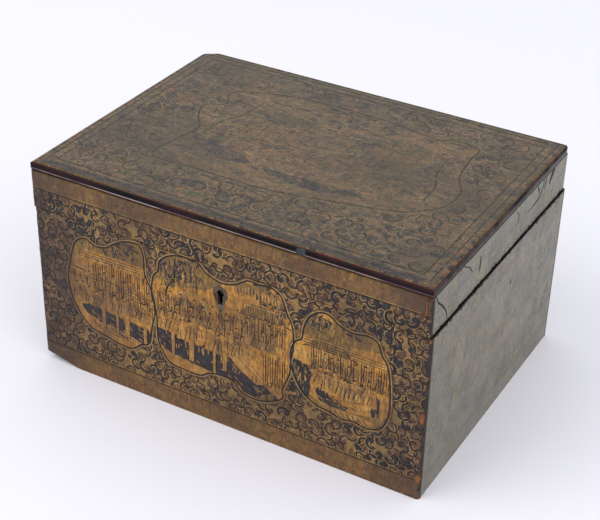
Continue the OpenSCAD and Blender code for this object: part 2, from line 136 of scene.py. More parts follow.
class Shade(Nodes):
    """A node material. Coordinates are the object's own, in metres."""

    def __init__(self, name):
        self.mat = bpy.data.materials.new(name)
        self.mat.use_nodes = True
        super().__init__(self.mat.node_tree)
        self.place = self.node("ShaderNodeTexCoord").outputs["Object"]
        self.xyz = self.node("ShaderNodeSeparateXYZ", {0: self.place}).outputs

    def stretched(self, stretch, shift=(0, 0, 0)):
        return self.node("ShaderNodeMapping", {0: self.place, 1: shift, 3: stretch}).outputs[0]

    def noise(self, size, detail=3.0, rough=0.55, stretch=(1, 1, 1), warp=0.0, shift=(0, 0, 0)):
        """Noise whose features are about size millimetres wide."""
        inputs = {"Vector": self.stretched(stretch, shift), "Scale": 1000 / size, "Detail": detail,
                  "Roughness": rough, "Distortion": warp}
        return self.node("ShaderNodeTexNoise", inputs).outputs["Fac"]

    def cells(self, size):
        inputs = {"Vector": self.place, "Scale": 1000 / size}
        return self.node("ShaderNodeTexVoronoi", inputs).outputs["Distance"]

    def between(self, value, low, high, out_low=0.0, out_high=1.0):
        inputs = {0: value, 1: low, 2: high, 3: out_low, 4: out_high}
        return self.node("ShaderNodeMapRange", inputs, interpolation_type="SMOOTHSTEP").outputs[0]

    def bump(self, height, strength, depth, below=None):
        inputs = {"Height": height, "Strength": strength, "Distance": depth * MM}
        if below is not None:
            inputs["Normal"] = below
        return self.node("ShaderNodeBump", inputs).outputs[0]

    def done(self, colour, rough, normal=None, **extra):
        inputs = {"Base Color": colour, "Roughness": rough}
        inputs.update({key.replace("_", " "): value for key, value in extra.items()})
        if normal is not None:
            inputs["Normal"] = normal
        shader = self.node("ShaderNodeBsdfPrincipled", inputs)
        self.node("ShaderNodeOutputMaterial", {0: shader.outputs[0]})
        return self.mat


def aged(shade, colour, dull, wear):
    """Old polish over a drawn colour: wide dull patches, grime in spots and a fine grain."""
    wide = shade.between(shade.noise(70, 4, 0.6, warp=0.4), 0.42, 0.68, 0, wear)
    colour = shade.mix(wide, colour, dull)
    spots = shade.between(shade.noise(7, 5, 0.7), 0.56, 0.72, 0, wear)
    colour = shade.mix(spots, colour, dull)
    grain = shade.between(shade.noise(0.9, 2, 0.6), 0.3, 0.7)
    return shade.mix(grain, shade.mix(0.22, colour, rgb(30, 22, 18)), colour)


def front_painted_shade(shade, colour, dull, ink):
    """Painted shade on the front: the gilding is darkened towards the ends and the foot, broken up by
    noise, so it is brightest in the middle.
    """
    picture = ink in ("panel", "light", "olive", "robe")
    left = shade.between(shade.xyz[0], -0.12, -0.168, 0, 0.95)
    right = shade.between(shade.xyz[0], 0.12, 0.18, 0, 0.7 if ink == "band" else 0.3)
    foot = shade.between(shade.xyz[2], 0.08, 0.05, 0, 0.34 if picture else 0.08)
    broken = shade.between(shade.noise(18, 5, 0.65), 0.3, 0.6, 0.35, 1)
    return shade.mix(shade.times(shade.most(left, right, foot), broken), colour, dull)


# Streaks of old polish on each face: their stretch, size in mm and share in every tone,
# then their warm, green, cold and pale colour
DRIFTS = {
    "front": ((1.2, 1, 0.5), 6, 0.3,
              ((158, 96, 46), (96, 84, 48), (74, 58, 60), (192, 148, 80))),
    "top": ((0.8, 1.15, 1), 11, 0.72,
            ((138, 102, 76), (84, 90, 66), (52, 56, 66), (172, 142, 106))),
    # the sides' pale streak colours carry painted sheen as well
    "side": ((1.2, 1.2, 0.7), 18, 0.76,
             ((138, 126, 100), (114, 114, 96), (104, 108, 106), (152, 138, 106))),
}


def drift(shade, palette, ink, colour):
    """Old polish whose hue drifts in streaks that run on over all the tones of a face."""
    stretch, size, share, (warm, green, cold, pale) = DRIFTS[palette]
    wide = shade.between(shade.noise(size, 5, 0.66, stretch, 2.6), 0.42, 0.58)
    worn = shade.mix(wide, rgb(*warm), rgb(*green))
    patches = shade.noise(1.7 * size, 5, 0.7, stretch, 2.4, (3, 1, 2))
    worn = shade.mix(shade.between(patches, 0.5, 0.59), worn, rgb(*cold))
    streaks = shade.noise(0.45 * size, 4, 0.7, stretch, 2.2, (1, 5, 3))
    worn = shade.mix(shade.between(streaks, 0.52, 0.66), worn, rgb(*pale))
    fine = shade.between(shade.noise(0.16 * size, 3, 0.7, stretch), 0.36, 0.64, 0.72, 1.12)
    share *= {"vein": 0.6, "ink": 0.4, "dark": 0.5, "band": 1.3}.get(ink, 1)
    return shade.mix(share, colour, shade.mix(1.0, worn, fine, "MULTIPLY"))


# Each ink's darker and lighter colour on each face, then how the face wears and shines
PALETTES = {
    "front": {
        "ground": ((114, 90, 54), (166, 134, 80)), "blob": ((60, 44, 42), (92, 68, 58)),
        "dark": ((34, 31, 36), (54, 50, 52)), "ink": ((20, 14, 12), (38, 27, 21)),
        "vein": ((142, 116, 68), (190, 158, 102)), "panel": ((194, 130, 46), (238, 174, 74)),
        "olive": ((118, 92, 44), (158, 124, 60)), "light": ((200, 142, 64), (230, 176, 94)),
        "band": ((100, 74, 46), (138, 106, 64)), "robe": ((156, 106, 46), (196, 140, 62)),
        "bare": ((108, 68, 44), (146, 96, 62)),
        "dull": (66, 50, 44), "wear": 0.5, "rough": (0.38, 0.54), "gloss": 0.28},
    "top": {
        "ground": ((76, 66, 50), (108, 94, 70)), "blob": ((62, 52, 42), (84, 70, 54)),
        "dark": ((36, 38, 44), (56, 56, 60)), "ink": ((24, 20, 18), (38, 32, 28)),
        "vein": ((132, 108, 70), (160, 132, 88)), "panel": ((108, 84, 56), (138, 106, 70)),
        "olive": ((76, 70, 46), (98, 88, 56)), "light": ((138, 108, 66), (160, 126, 80)),
        "band": ((68, 59, 47), (86, 75, 58)), "robe": ((108, 70, 48), (130, 88, 60)),
        "bare": ((200, 190, 176), (226, 216, 204)),
        "dull": (78, 71, 60), "wear": 0.6, "rough": (0.3, 0.46), "gloss": 0.5},
    # The sides' pale greys are their worn gilding with painted sheen, standing in part for the light their
    # black lacquer reflects
    "side": {
        "ground": ((106, 100, 82), (126, 119, 98)), "blob": ((96, 90, 74), (112, 106, 88)),
        "dark": ((84, 83, 78), (100, 98, 90)), "ink": ((76, 72, 62), (90, 85, 74)),
        "vein": ((122, 113, 90), (140, 129, 101)), "panel": ((118, 108, 84), (136, 124, 96)),
        "olive": ((106, 101, 78), (122, 115, 88)), "light": ((128, 117, 88), (144, 131, 98)),
        "band": ((94, 87, 74), (106, 98, 83)), "robe": ((100, 88, 74), (116, 102, 84)),
        "bare": ((20, 17, 16), (34, 29, 26)),
        "dull": (112, 108, 97), "wear": 0.6, "rough": (0.3, 0.46), "gloss": 0.5},
}
INKS = ("ground", "blob", "dark", "ink", "vein", "panel", "olive", "light", "band", "robe", "bare")


def gilt(shade, palette, ink):
    """Colour, roughness and bump of one drawn tone of a palette."""
    tones = PALETTES[palette]
    low, high = (rgb(*tone) for tone in tones[ink])
    dull = rgb(*tones["dull"])
    if palette == "top":
        grain = shade.noise(9, 4, 0.65, stretch=(0.5, 1.3, 1), warp=1.2)
    elif palette == "side":
        grain = shade.noise(9, 4, 0.65, stretch=(1.6, 1.6, 0.3), warp=0.3)
    else:
        grain = shade.noise(5, 4, 0.6)
    colour = shade.mix(shade.between(grain, 0.34, 0.66), low, high)
    if palette == "front" and ink in ("panel", "olive", "light", "band"):
        hatch = shade.between(shade.noise(3.2, 4, 0.7, (2.2, 1, 0.3), 0.5), 0.42, 0.56)
        colour = shade.mix(hatch, shade.mix(0.42, colour, rgb(62, 42, 28)), colour)
    firm = {"ink": 0.3, "dark": 0.3, "bare": 0.2}.get(ink, 1.0)
    if ink != "bare" and (firm == 1 or palette != "front"):
        colour = drift(shade, palette, ink, colour)
    colour = aged(shade, colour, dull, tones["wear"] * firm)
    # painted shade, darker towards the front's ends and foot
    if palette == "front" and firm == 1:
        colour = front_painted_shade(shade, colour, dull, ink)
    rough = shade.between(shade.noise(24, 5, 0.6), 0.3, 0.7, *tones["rough"])
    bump = shade.bump(shade.noise(1.4, 3, 0.6), 0.25, 0.05)
    bump = shade.bump(shade.noise(26, 3, 0.5), 0.3, 0.25, bump)
    return colour, rough, bump


def black(shade):
    """Colour, roughness and bump of plain black lacquer, a little brown where it is rubbed."""
    rubbed = shade.between(shade.noise(34, 5, 0.65), 0.52, 0.72, 0, 0.8)
    colour = shade.mix(rubbed, rgb(15, 12, 14), rgb(34, 24, 22))
    dust = shade.between(shade.noise(3, 5, 0.75), 0.55, 0.8, 0, 0.3)
    colour = shade.mix(dust, colour, rgb(60, 52, 48))
    rough = shade.between(shade.noise(12, 5, 0.6), 0.3, 0.7, 0.16, 0.34)
    bump = shade.bump(shade.noise(2.2, 3, 0.5), 0.2, 0.04)
    return colour, rough, shade.bump(shade.noise(40, 2, 0.5), 0.3, 0.3, bump)


def ink_material(palette, ink):
    shade = Shade(f"{palette}_{ink}")
    gloss = 0.04 if ink == "bare" else PALETTES[palette]["gloss"]
    return shade.done(*gilt(shade, palette, ink), Specular_IOR_Level=gloss)


def shell(name, palette, axis, edge, low, high):
    """A board that is black, but gilt on its outer face, beyond edge on the axis and between two levels."""
    shade = Shade(name)
    sign = 1 if edge > 0 else -1
    outer = shade.math("GREATER_THAN", shade.math("MULTIPLY", shade.xyz[axis], sign), abs(edge))
    above = shade.math("GREATER_THAN", shade.xyz[2], low)
    below = shade.math("LESS_THAN", shade.xyz[2], high)
    share = shade.times(outer, above, below)
    if name == "shell_front_board":
        place = shade.node("ShaderNodeCombineXYZ", {0: shade.xyz[0], 2: shade.xyz[2]}).outputs[0]
        ends = {0: place, 1: (0, 0, key_z * MM)}
        from_key = shade.node("ShaderNodeVectorMath", ends, operation="DISTANCE").outputs["Value"]
        share = shade.times(share, shade.math("GREATER_THAN", from_key, KEYHOLE_BLACK * MM))
    outside, inside = gilt(shade, palette, "ground"), black(shade)
    colour = shade.mix(share, inside[0], outside[0])
    rough = shade.math("ADD", shade.times(share, outside[1]),
                       shade.times(shade.math("SUBTRACT", 1.0, share), inside[1]))
    return shade.done(colour, rough, inside[2], Specular_IOR_Level=PALETTES[palette]["gloss"])


def bead_finish(name, axis, edge, wide):
    """Top gilding that runs on over a bead, a red rubbed line, a black nose as wide as given, and on the
    front a painted highlight.
    """
    shade = Shade(name)
    sign = 1 if edge > 0 else -1
    along = shade.math("ADD", shade.math("MULTIPLY", shade.xyz[axis], sign), -abs(edge))
    top, nose = gilt(shade, "top", "ground"), black(shade)
    red = shade.between(shade.noise(14, 4, 0.6), 0.4, 0.6)
    rubbed = shade.mix(red, rgb(74, 58, 48), rgb(92, 40, 38))
    colour = shade.mix(shade.between(along, -(wide + 1.1) * MM, -(wide + 0.6) * MM), top[0], rubbed)
    dark = shade.between(along, -(wide + 0.3) * MM, -wide * MM)
    rough = shade.between(shade.noise(12, 5, 0.6), 0.3, 0.7, 0.12, 0.26)
    brown = shade.between(shade.noise(26, 4, 0.6, (0.4, 1, 1)), 0.4, 0.6)
    bruised = (40, 22, 26) if name.endswith("front") else (66, 59, 57)
    colour = shade.mix(dark, colour, shade.mix(brown, nose[0], rgb(*bruised)))
    if name.endswith("front"):
        # painted highlight: a pale broken line low on the front bead's nose
        foot, low, high, head = (lid_top - depth for depth in BEAD_HIGHLIGHT)
        line = shade.times(shade.between(shade.xyz[2], foot, low), shade.between(shade.xyz[2], head, high),
                           shade.between(shade.noise(9, 5, 0.7, (0.3, 1, 1)), 0.3, 0.5, 0.3, 0.9))
        colour = shade.mix(line, colour, shade.mix(brown, rgb(176, 158, 160), rgb(100, 84, 94)))
    return shade.done(colour, rough, nose[2], Specular_IOR_Level=0.08)


def plain_black(name):
    """Black lacquer with a thin clear coat."""
    shade = Shade(name)
    return shade.done(*black(shade), Specular_IOR_Level=0.22, Coat_Weight=0.12, Coat_Roughness=0.06)


def metal(name, bright, stain, rough):
    """An old metal: bright where it is handled, stained in patches, with fine scratches."""
    shade = Shade(name)
    patches = shade.between(shade.noise(6, 5, 0.65, warp=0.5), 0.4, 0.66)
    colour = shade.mix(patches, rgb(*bright), rgb(*stain))
    spots = shade.between(shade.cells(2.4), 0.12, 0.3)
    colour = shade.mix(spots, shade.mix(0.5, colour, rgb(40, 32, 26)), colour)
    scratches = shade.noise(1.2, 3, 0.7, stretch=(0.12, 1, 1))
    roughness = shade.between(shade.noise(5, 4), 0.3, 0.7, rough - 0.1, rough + 0.12)
    bump = shade.bump(scratches, 0.25, 0.03)
    return shade.done(colour, roughness, shade.bump(shade.noise(4, 3), 0.3, 0.08, bump), Metallic=0.9)


def wood(name, pale, deep, stretch):
    """Bare wood or bamboo with grain along one axis."""
    shade = Shade(name)
    grain = shade.between(shade.noise(2.2, 5, 0.7, stretch=stretch), 0.35, 0.65)
    colour = shade.mix(grain, rgb(*pale), rgb(*deep))
    stains = shade.between(shade.noise(5, 4, 0.6), 0.5, 0.75, 0, 0.6)
    colour = shade.mix(stains, colour, rgb(78, 52, 38))
    return shade.done(colour, shade.between(grain, 0, 1, 0.55, 0.75), shade.bump(grain, 0.35, 0.1))


inks = {(palette, ink): ink_material(palette, ink) for palette in PALETTES for ink in INKS}
brass = metal("aged_brass", (150, 118, 62), (92, 70, 42), 0.38)
dark_brass = metal("dark_brass", (104, 82, 46), (54, 42, 28), 0.45)
steel = metal("old_steel", (70, 66, 64), (46, 38, 34), 0.5)
grey_metal = metal("grey_metal", (112, 100, 88), (78, 68, 58), 0.55)
bamboo = wood("bamboo", (168, 132, 82), (132, 98, 58), (1, 0.15, 1))
worn_grey = wood("worn_grey", (66, 72, 72), (34, 38, 40), (1, 1, 0.4))
dark_lacquer = plain_black("black_lacquer")

# Levels and faces of the box, from the frame
front_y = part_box("front_board")[0].y
back_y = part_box("back_board")[1].y
body_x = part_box("right_board")[1].x
lid_low, lid_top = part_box("lid_front_rail")[0].z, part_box("lid_panel")[1].z
rail_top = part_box("lid_panel")[0].z
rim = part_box("front_board")[1].z
lid_left, lid_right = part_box("lid_left_rail")[0].x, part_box("lid_right_rail")[1].x
lid_shift = (lid_left + lid_right) / 2
HAIR = 0.1 * MM
# In mm: how far the top and right side stand back under their ornament, and what stays free at the split
SUNK, SPLIT_GAP = 0.15, 0.25
# How deep the gilding reaches round the long and the short boards
LONG_WRAP, SHORT_WRAP = 3.5 * MM, 2 * MM
# How far below the lid's top the painted highlight on the front bead starts, is full, stays full and ends
BEAD_HIGHLIGHT = (0.0059, 0.0054, 0.0047, 0.0042)
# Round the key's axis, how far the front board's face stays black, in mm
KEYHOLE_BLACK = 6

# The key plate's drop outline, about the key's axis
key_low, key_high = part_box("key_escutcheon")
key_z = (key_high.z - (key_high.x - key_low.x) / 2) / MM
DROP_R = (key_high.x - key_low.x) / 2 / MM
DROP_L = key_z - key_low.z / MM

# Boards that are gilt outside: palette, axis, edge and levels, as shell takes them
SHELLS = {
    "front_board": ("front", 1, front_y + LONG_WRAP, -1, rim - HAIR),
    "back_board": ("side", 1, back_y - LONG_WRAP, -1, rim - HAIR),
    "left_board": ("side", 0, -body_x + SHORT_WRAP, -1, rim - HAIR),
    "right_board": ("side", 0, body_x - SHORT_WRAP, -1, rim - HAIR),
    "lid_front_rail": ("front", 1, front_y + LONG_WRAP, lid_low + HAIR, 1),
    "lid_back_rail": ("side", 1, back_y - LONG_WRAP, lid_low + HAIR, 1),
    "lid_left_rail": ("side", 0, lid_left + SHORT_WRAP, lid_low + HAIR, 1),
    "lid_right_rail": ("side", 0, lid_right - SHORT_WRAP, lid_low + HAIR, 1),
}

# Axis and outer edge of each bead, and how wide its black nose is in mm
BEADS = {
    "bead_front": (1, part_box("bead_front")[0].y, 1.5),
    "bead_back": (1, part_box("bead_back")[1].y, 1.2),
    "bead_left": (0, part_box("bead_left")[0].x, 1.6),
    "bead_right": (0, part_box("bead_right")[1].x, 1.6),
}


def finish_of(name):
    """The material of a CAD node."""
    if name in SHELLS:
        return shell("shell_" + name, *SHELLS[name])
    if name == "lock_case":
        return dark_brass
    if "screw" in name or "hinge" in name or "link" in name or name in ("lock_cap", "lock_bolt"):
        return brass
    if name in ("lock_spring", "drill_pin"):
        return steel
    if name.endswith("pins"):
        return bamboo
    if name in BEADS:
        return bead_finish("finish_" + name, *BEADS[name])
    return dark_lacquer


for name, node in nodes.items():
    node.data.materials.clear()
    node.data.materials.append(finish_of(name))


# Drawing in relief: flat shapes in millimetres on a face of the box, each a thin closed slab

def area(points):
    """Signed area of a polygon, positive when it runs counterclockwise."""
    return sum(a[0] * b[1] - b[0] * a[1] for a, b in zip(points, points[1:] + points[:1])) / 2


def box_points(u0, u1, v0, v1, lean=0.0):
    """Corners of an upright box, its foot and head rising by lean to the right."""
    rise = (u1 - u0) * lean
    return [(u0, v0), (u1, v0 + rise), (u1, v1 + rise), (u0, v1)]


def extent(points):
    """Left, right, bottom and top."""
    us, vs = zip(*points)
    return min(us), max(us), min(vs), max(vs)


def meets(points, window):
    """Whether the points' own box reaches into the window."""
    u0, u1, v0, v1 = extent(points)
    return u1 > window[0] and u0 < window[1] and v1 > window[2] and v0 < window[3]


def overlap(shapes, regions, hole=None):
    """Corners and triangles of what the shapes cover in every region and outside the hole, once each."""
    loops = [*shapes, *regions] + ([hole] if hole else [])
    corners, faces = [], []
    for loop in loops:
        if area(loop) < 0:
            loop = loop[::-1]
        faces.append(list(range(len(corners), len(corners) + len(loop))))
        corners.extend(Vector(p) for p in loop)
    verts, _, made, _, _, parents = delaunay_2d_cdt(corners, [], faces, 1, 1e-4)
    own = set(range(len(shapes)))
    wanted = set(range(len(shapes), len(shapes) + len(regions)))
    banned = {len(loops) - 1} if hole else set()
    kept = [f for f, p in zip(made, parents) if own & set(p) and wanted <= set(p) and not banned & set(p)]
    leaked = sum(area([verts[i] for i in f]) for f in kept) > 1.5 * sum(abs(area(s)) for s in shapes) + 0.5
    return verts, [] if leaked else kept


def smooth(points, closed=True, step=1.4):
    """A Catmull-Rom curve through the points."""
    count = len(points)
    made = []
    for i in range(count if closed else count - 1):
        if closed:
            p = [points[(i + k) % count] for k in (-1, 0, 1, 2)]
        else:
            p = [points[min(max(i + k, 0), count - 1)] for k in (-1, 0, 1, 2)]
        parts = max(1, round(math.dist(p[1], p[2]) / step))
        for j in range(parts):
            t = j / parts
            made.append(tuple(
                0.5 * (2 * p[1][c] + (p[2][c] - p[0][c]) * t
                       + (2 * p[0][c] - 5 * p[1][c] + 4 * p[2][c] - p[3][c]) * t * t
                       + (3 * p[1][c] - p[0][c] - 3 * p[2][c] + p[3][c]) * t ** 3)
                for c in (0, 1)))
    return made if closed else made + [tuple(points[-1])]


def widened(points, by):
    """A closed counterclockwise outline moved outwards."""
    made = []
    for i, point in enumerate(points):
        a, b = points[i - 2], points[(i + 2) % len(points)]
        length = math.dist(a, b) or 1
        made.append((point[0] + (b[1] - a[1]) / length * by, point[1] - (b[0] - a[0]) / length * by))
    return made


# Multiples of this share never repeat, so within this spread no two slabs are quite level with each other
GOLDEN, SPREAD = 0.618034, 0.027


class Relief:
    """Everything drawn on one face. Windows are (body, left, right, bottom, top) in face millimetres."""
    bury = -0.05
    lifts = {"scrolls": 0, "bands": 0.15, "panels": 0.16, "wear": 0.19}

    def __init__(self, name, palette, place, windows, depth=1.0):
        self.name, self.palette, self.place, self.windows = name, palette, place, windows
        self.depth = depth
        self.count = 0
        self.lift = 0
        self.store = {}

    def slab(self, body, layer, ink, corners, caps, height):
        """A slab over counterclockwise caps, with walls round their free edges."""
        verts, faces, tones = self.store.setdefault((layer, body), ([], [], []))
        self.count += 1
        own = self.count * GOLDEN % 1 * SPREAD
        height = (height + self.lifts[layer] + self.lift + own) * self.depth
        used = sorted({i for cap in caps for i in cap})
        order = {i: k for k, i in enumerate(used)}
        n, k = len(used), len(verts)
        for level in (height, self.bury):
            verts.extend(self.place(body, *corners[i], level) for i in used)
        edges = set()
        for cap in caps:
            cap = [order[i] for i in cap]
            faces.append([k + i for i in cap])
            faces.append([k + n + i for i in reversed(cap)])
            edges.update(zip(cap, cap[1:] + cap[:1]))
        walls = sorted((i, j) for i, j in edges if (j, i) not in edges)
        faces.extend([k + i, k + n + i, k + n + j, k + j] for i, j in walls)
        tones.extend([ink] * (2 * len(caps) + len(walls)))

    def reached(self, points):
        """Windows that the shape touches, and whether it lies wholly inside."""
        u0, u1, v0, v1 = extent(points)
        for body, *window in self.windows:
            if meets(points, window):
                inside = u0 >= window[0] and u1 <= window[1] and v0 >= window[2] and v1 <= window[3]
                yield body, window, inside

    def cover(self, ink, shapes, height, layer="scrolls", within=(), hole=None):
        """One slab over all that the shapes cover together."""
        for body, window, inside in self.reached([point for shape in shapes for point in shape]):
            near = [shape for shape in shapes if abs(area(shape)) > 1e-3 and meets(shape, window)]
            regions = list(within) if inside else [*within, box_points(*window)]
            corners, caps = overlap(near, regions, hole) if near else ([], [])
            if caps:
                self.slab(body, layer, ink, corners, caps, height)

    def fill(self, ink, points, height, layer="scrolls", within=(), hole=None):
        self.cover(ink, [points], height, layer, within, hole)

    def line(self, ink, points, width, height, layer="scrolls", closed=False, taper=0.0):
        """A brush line. With taper its ends thin to that share less."""
        n = len(points)
        right, left = [], []
        for i, point in enumerate(points):
            a = points[i - 1] if i or closed else point
            b = points[(i + 1) % n] if i < n - 1 or closed else point
            length = math.dist(a, b) or 1
            half = width / 2 * (1 - taper * abs(2 * i / max(n - 1, 1) - 1) ** 2)
            du, dv = (b[1] - a[1]) / length * half, -(b[0] - a[0]) / length * half
            right.append((point[0] + du, point[1] + dv))
            left.append((point[0] - du, point[1] - dv))
        if closed:
            right.append(right[0])
            left.append(left[0])
            n += 1
        quads = [[right[i], right[i + 1], left[i + 1], left[i]] for i in range(n - 1)]
        self.cover(ink, quads, height, layer)

    def build(self):
        for (layer, body), (verts, faces, tones) in sorted(self.store.items()):
            mesh = bpy.data.meshes.new(f"{self.name}_{layer}_{body}")
            mesh.from_pydata(verts, [], faces)
            used = sorted(set(tones))
            for ink in used:
                mesh.materials.append(inks[self.palette, ink])
            mesh.polygons.foreach_set("material_index", [used.index(t) for t in tones])
            mesh.update()
            piece = linked(mesh.name, mesh)
            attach(piece, body)


def turned(points, u, v, angle, size=1.0, hand=1):
    """Points drawn about (0, 0), turned, scaled, mirrored where hand is -1, and moved to (u, v)."""
    c, s = math.cos(angle) * size, math.sin(angle) * size
    return [(u + x * c - y * hand * s, v + x * s + y * hand * c) for x, y in points]


def comma(relief, rng, tone, lay):
    """A fat hooked stroke that widens to a round head, with a dark outer line and a gilt inner one."""
    sweep, head = rng.uniform(3.0, 4.2), rng.uniform(0.4, 0.5)
    steps, tail = 14, 0.14
    outer, inner, middle = [], [], []
    for i in range(steps + 1):
        t = i / steps
        turn = sweep * t
        reach = 0.7 - 0.22 * t
        half = tail + (head - tail) * t ** 0.6
        reaches = reach + half, max(reach - half, 0.04), reach - 0.25 * half
        for line, r in zip((outer, inner, middle), reaches):
            line.append((r * math.cos(turn), r * math.sin(turn)))
    end = ((outer[-1][0] + inner[-1][0]) / 2, (outer[-1][1] + inner[-1][1]) / 2)
    cap = [(end[0] + head * math.cos(sweep + a), end[1] + head * math.sin(sweep + a)) for a in
           (0.45, 0.9, 1.35, 1.8, 2.25, 2.7)]
    parts = [[outer[i], outer[i + 1], inner[i + 1], inner[i]] for i in range(steps)]
    parts.append([outer[-1], *cap, inner[-1]])
    relief.cover(tone, [lay(part) for part in parts], 0.06)
    relief.line("ink", lay(outer + cap), 1.15, 0.13, taper=0.45)
    relief.line("vein", lay(middle[3:-2]), 0.85, 0.1, taper=0.6)
    relief.line("vein", lay([(1.17 * x, 1.17 * y) for x, y in outer[2:-2]]), 0.75, 0.12, taper=0.6)


def lobe(relief, rng, tone, lay):
    """A lobed leaf with a notch, a dark line round most of it and a gilt spiral in it."""
    phases = [rng.uniform(0, math.tau) for _ in range(3)]
    notch = rng.uniform(0.3, 0.5)

    def radius(t):
        wobble = 0.09 * math.cos(2 * t + phases[0]) + 0.08 * math.cos(3 * t + phases[1])
        wobble += 0.04 * math.cos(5 * t + phases[2])
        gap = ((t + math.pi) % math.tau - math.pi) / 0.4
        return (0.88 + wobble) * (1 - notch * math.exp(-gap * gap))

    def at(t, share):
        return (radius(t) * share * math.cos(t), radius(t) * share * 0.88 * math.sin(t))

    relief.fill(tone, lay([at(math.tau * i / 26, 1) for i in range(26)]), 0.05)
    start, sweep = rng.uniform(0.3, 0.7), rng.uniform(3.6, 5.2)
    edge = [at(start + sweep * i / 24, 1.03 - 0.3 * max(0, i - 19) / 5) for i in range(25)]
    relief.line("ink", lay(edge), 1.1, 0.12, taper=0.5)
    relief.line("vein", lay([at(start + sweep * i / 20, 0.76) for i in range(4, 19)]), 0.8, 0.1, taper=0.6)
    turn = rng.uniform(0, math.tau)
    spiral = []
    for k in range(9):
        spiral.append(((0.5 - 0.34 * k / 14) * math.cos(turn + 0.36 * k),
                       (0.44 - 0.3 * k / 14) * math.sin(turn + 0.36 * k)))
    relief.line(rng.choice(("ink", "vein")), lay(spiral), 0.8, 0.11, taper=0.6)


def curl(relief, rng, u, v, size, tone):
    """One leaf of the ground pattern."""
    shape = comma if rng.random() < 0.6 else lobe
    relief.lift = rng.uniform(0, 0.12)
    angle, hand = rng.uniform(0, math.tau), rng.choice((-1, 1))
    shape(relief, rng, tone, lambda points: turned(points, u, v, angle, size, hand))
    relief.lift = 0


def scatter(relief, rng, window, step, sizes, keep_out, tone_at, skip=0.04):
    """Curls on a loose staggered lattice, outside the panels. Skip is the share left out."""
    left, right, low, high = window
    row, v = 0, low
    while v < high:
        u = left + (step / 2 if row % 2 else 0)
        while u < right:
            pu, pv = u + rng.uniform(-0.24, 0.24) * step, v + rng.uniform(-0.2, 0.2) * step
            size = rng.uniform(*sizes)
            chance, pick = rng.random(), rng.random()
            if chance > skip and not any(inside(panel, pu, pv, -0.3 * size) for panel in keep_out):
                curl(relief, rng, pu, pv, size, tone_at(pu, pv, pick))
            u += step
        v += step * 0.84
        row += 1


class Panel:
    """A lobed picture panel. What is drawn in it ends at its edge and at its hole."""

    def __init__(self, relief, outline, hole=None):
        self.relief = relief
        self.outline = smooth(outline) if area(outline) > 0 else smooth(outline[::-1])
        self.hole = hole
        self.inner = widened(self.outline, -0.5)
        self.u0, self.u1, self.v0, self.v1 = extent(self.outline)
        self.u, self.v = (self.u0 + self.u1) / 2, (self.v0 + self.v1) / 2
        polar = sorted((math.atan2(y - self.v, x - self.u), math.dist((x, y), (self.u, self.v)))
                       for x, y in self.outline)
        self.reach = [polar[min(range(len(polar)), key=lambda i: abs(polar[i][0] - a))][1]
                      for a in (math.radians(d) for d in range(-180, 181, 3))]

    def radius(self, u, v):
        place = (math.degrees(math.atan2(v - self.v, u - self.u)) + 180) / 3
        i = min(int(place), 119)
        return self.reach[i] * (1 - place + i) + self.reach[i + 1] * (place - i)

    def frame(self, strip=2.0, line=1.5):
        """The panel's gilt ground, and the lines round it."""
        relief = self.relief
        relief.fill("ground", widened(self.outline, strip), 0.14, "panels", hole=self.hole)
        relief.fill("panel", self.outline, 0.18, "panels", hole=self.hole)
        relief.line("ink", self.outline, line, 0.3, "panels", closed=True)
        relief.line("vein", widened(self.outline, 1.2), 0.8, 0.26, "panels", closed=True)
        relief.line("blob", widened(self.outline, strip + 0.2), 0.7, 0.2, "panels", closed=True)

    def fill(self, ink, points, height=0.22):
        self.relief.fill(ink, points, height, "panels", [self.inner], self.hole)

    def line(self, ink, points, width=0.5, height=0.27, taper=0.0):
        """A line, cut where it leaves the panel or meets the key plate."""
        run = []
        for a, b in zip(points, points[1:]):
            parts = max(1, int(math.dist(a, b) / 2))
            for j in range(parts + (b is points[-1])):
                point = (a[0] + (b[0] - a[0]) * j / parts, a[1] + (b[1] - a[1]) * j / parts)
                off_plate = self.hole is None or math.dist(point, (0, key_z - 4)) > DROP_R + 5
                if off_plate and inside(self, *point, -0.8):
                    run.append(point)
                    continue
                if len(run) > 1:
                    self.relief.line(ink, run, width, height, "panels", taper=taper)
                run = []
        if len(run) > 1:
            self.relief.line(ink, run, width, height, "panels", taper=taper)


def inside(panel, u, v, margin):
    """Whether a place is in the panel, or within the margin round it."""
    return math.dist((u, v), (panel.u, panel.v)) < panel.radius(u, v) + margin


def drop_radius(angle):
    """Distance from the key's axis to the edge of the drop, straight sided below."""
    down = abs((angle + math.pi / 2 + math.pi) % math.tau - math.pi)
    lean = math.acos(DROP_R / DROP_L)
    if down > lean:
        return DROP_R
    return DROP_R / math.cos(lean - down)


def drop(grow):
    """The drop's edge in face millimetres, moved outwards by grow."""
    count = 48
    made = []
    for i in range(count):
        angle = math.tau * i / count
        reach = drop_radius(angle) + grow
        made.append((math.cos(angle) * reach, key_z + math.sin(angle) * reach))
    return made


# Pictures in the panels

def leaves(panel, rng, u, v, spread, count, tone="dark", size=2.6):
    """A loose cluster of small pointed leaves."""
    for _ in range(count):
        a, r = rng.uniform(0, math.tau), spread * math.sqrt(rng.random())
        length, turn = size * rng.uniform(0.7, 1.5), rng.uniform(0, math.pi)
        at = u + r * math.cos(a), v + r * math.sin(a) * 0.7
        leaf = [(-length, 0), (-0.2 * length, 0.42 * length), (length, 0), (-0.2 * length, -0.38 * length)]
        panel.fill(tone, turned(leaf, *at, turn), 0.24)
        if rng.random() < 0.4:
            panel.line("vein", turned([(-length * 0.8, 0), (length * 0.8, 0)], *at, turn), 0.4, 0.29)


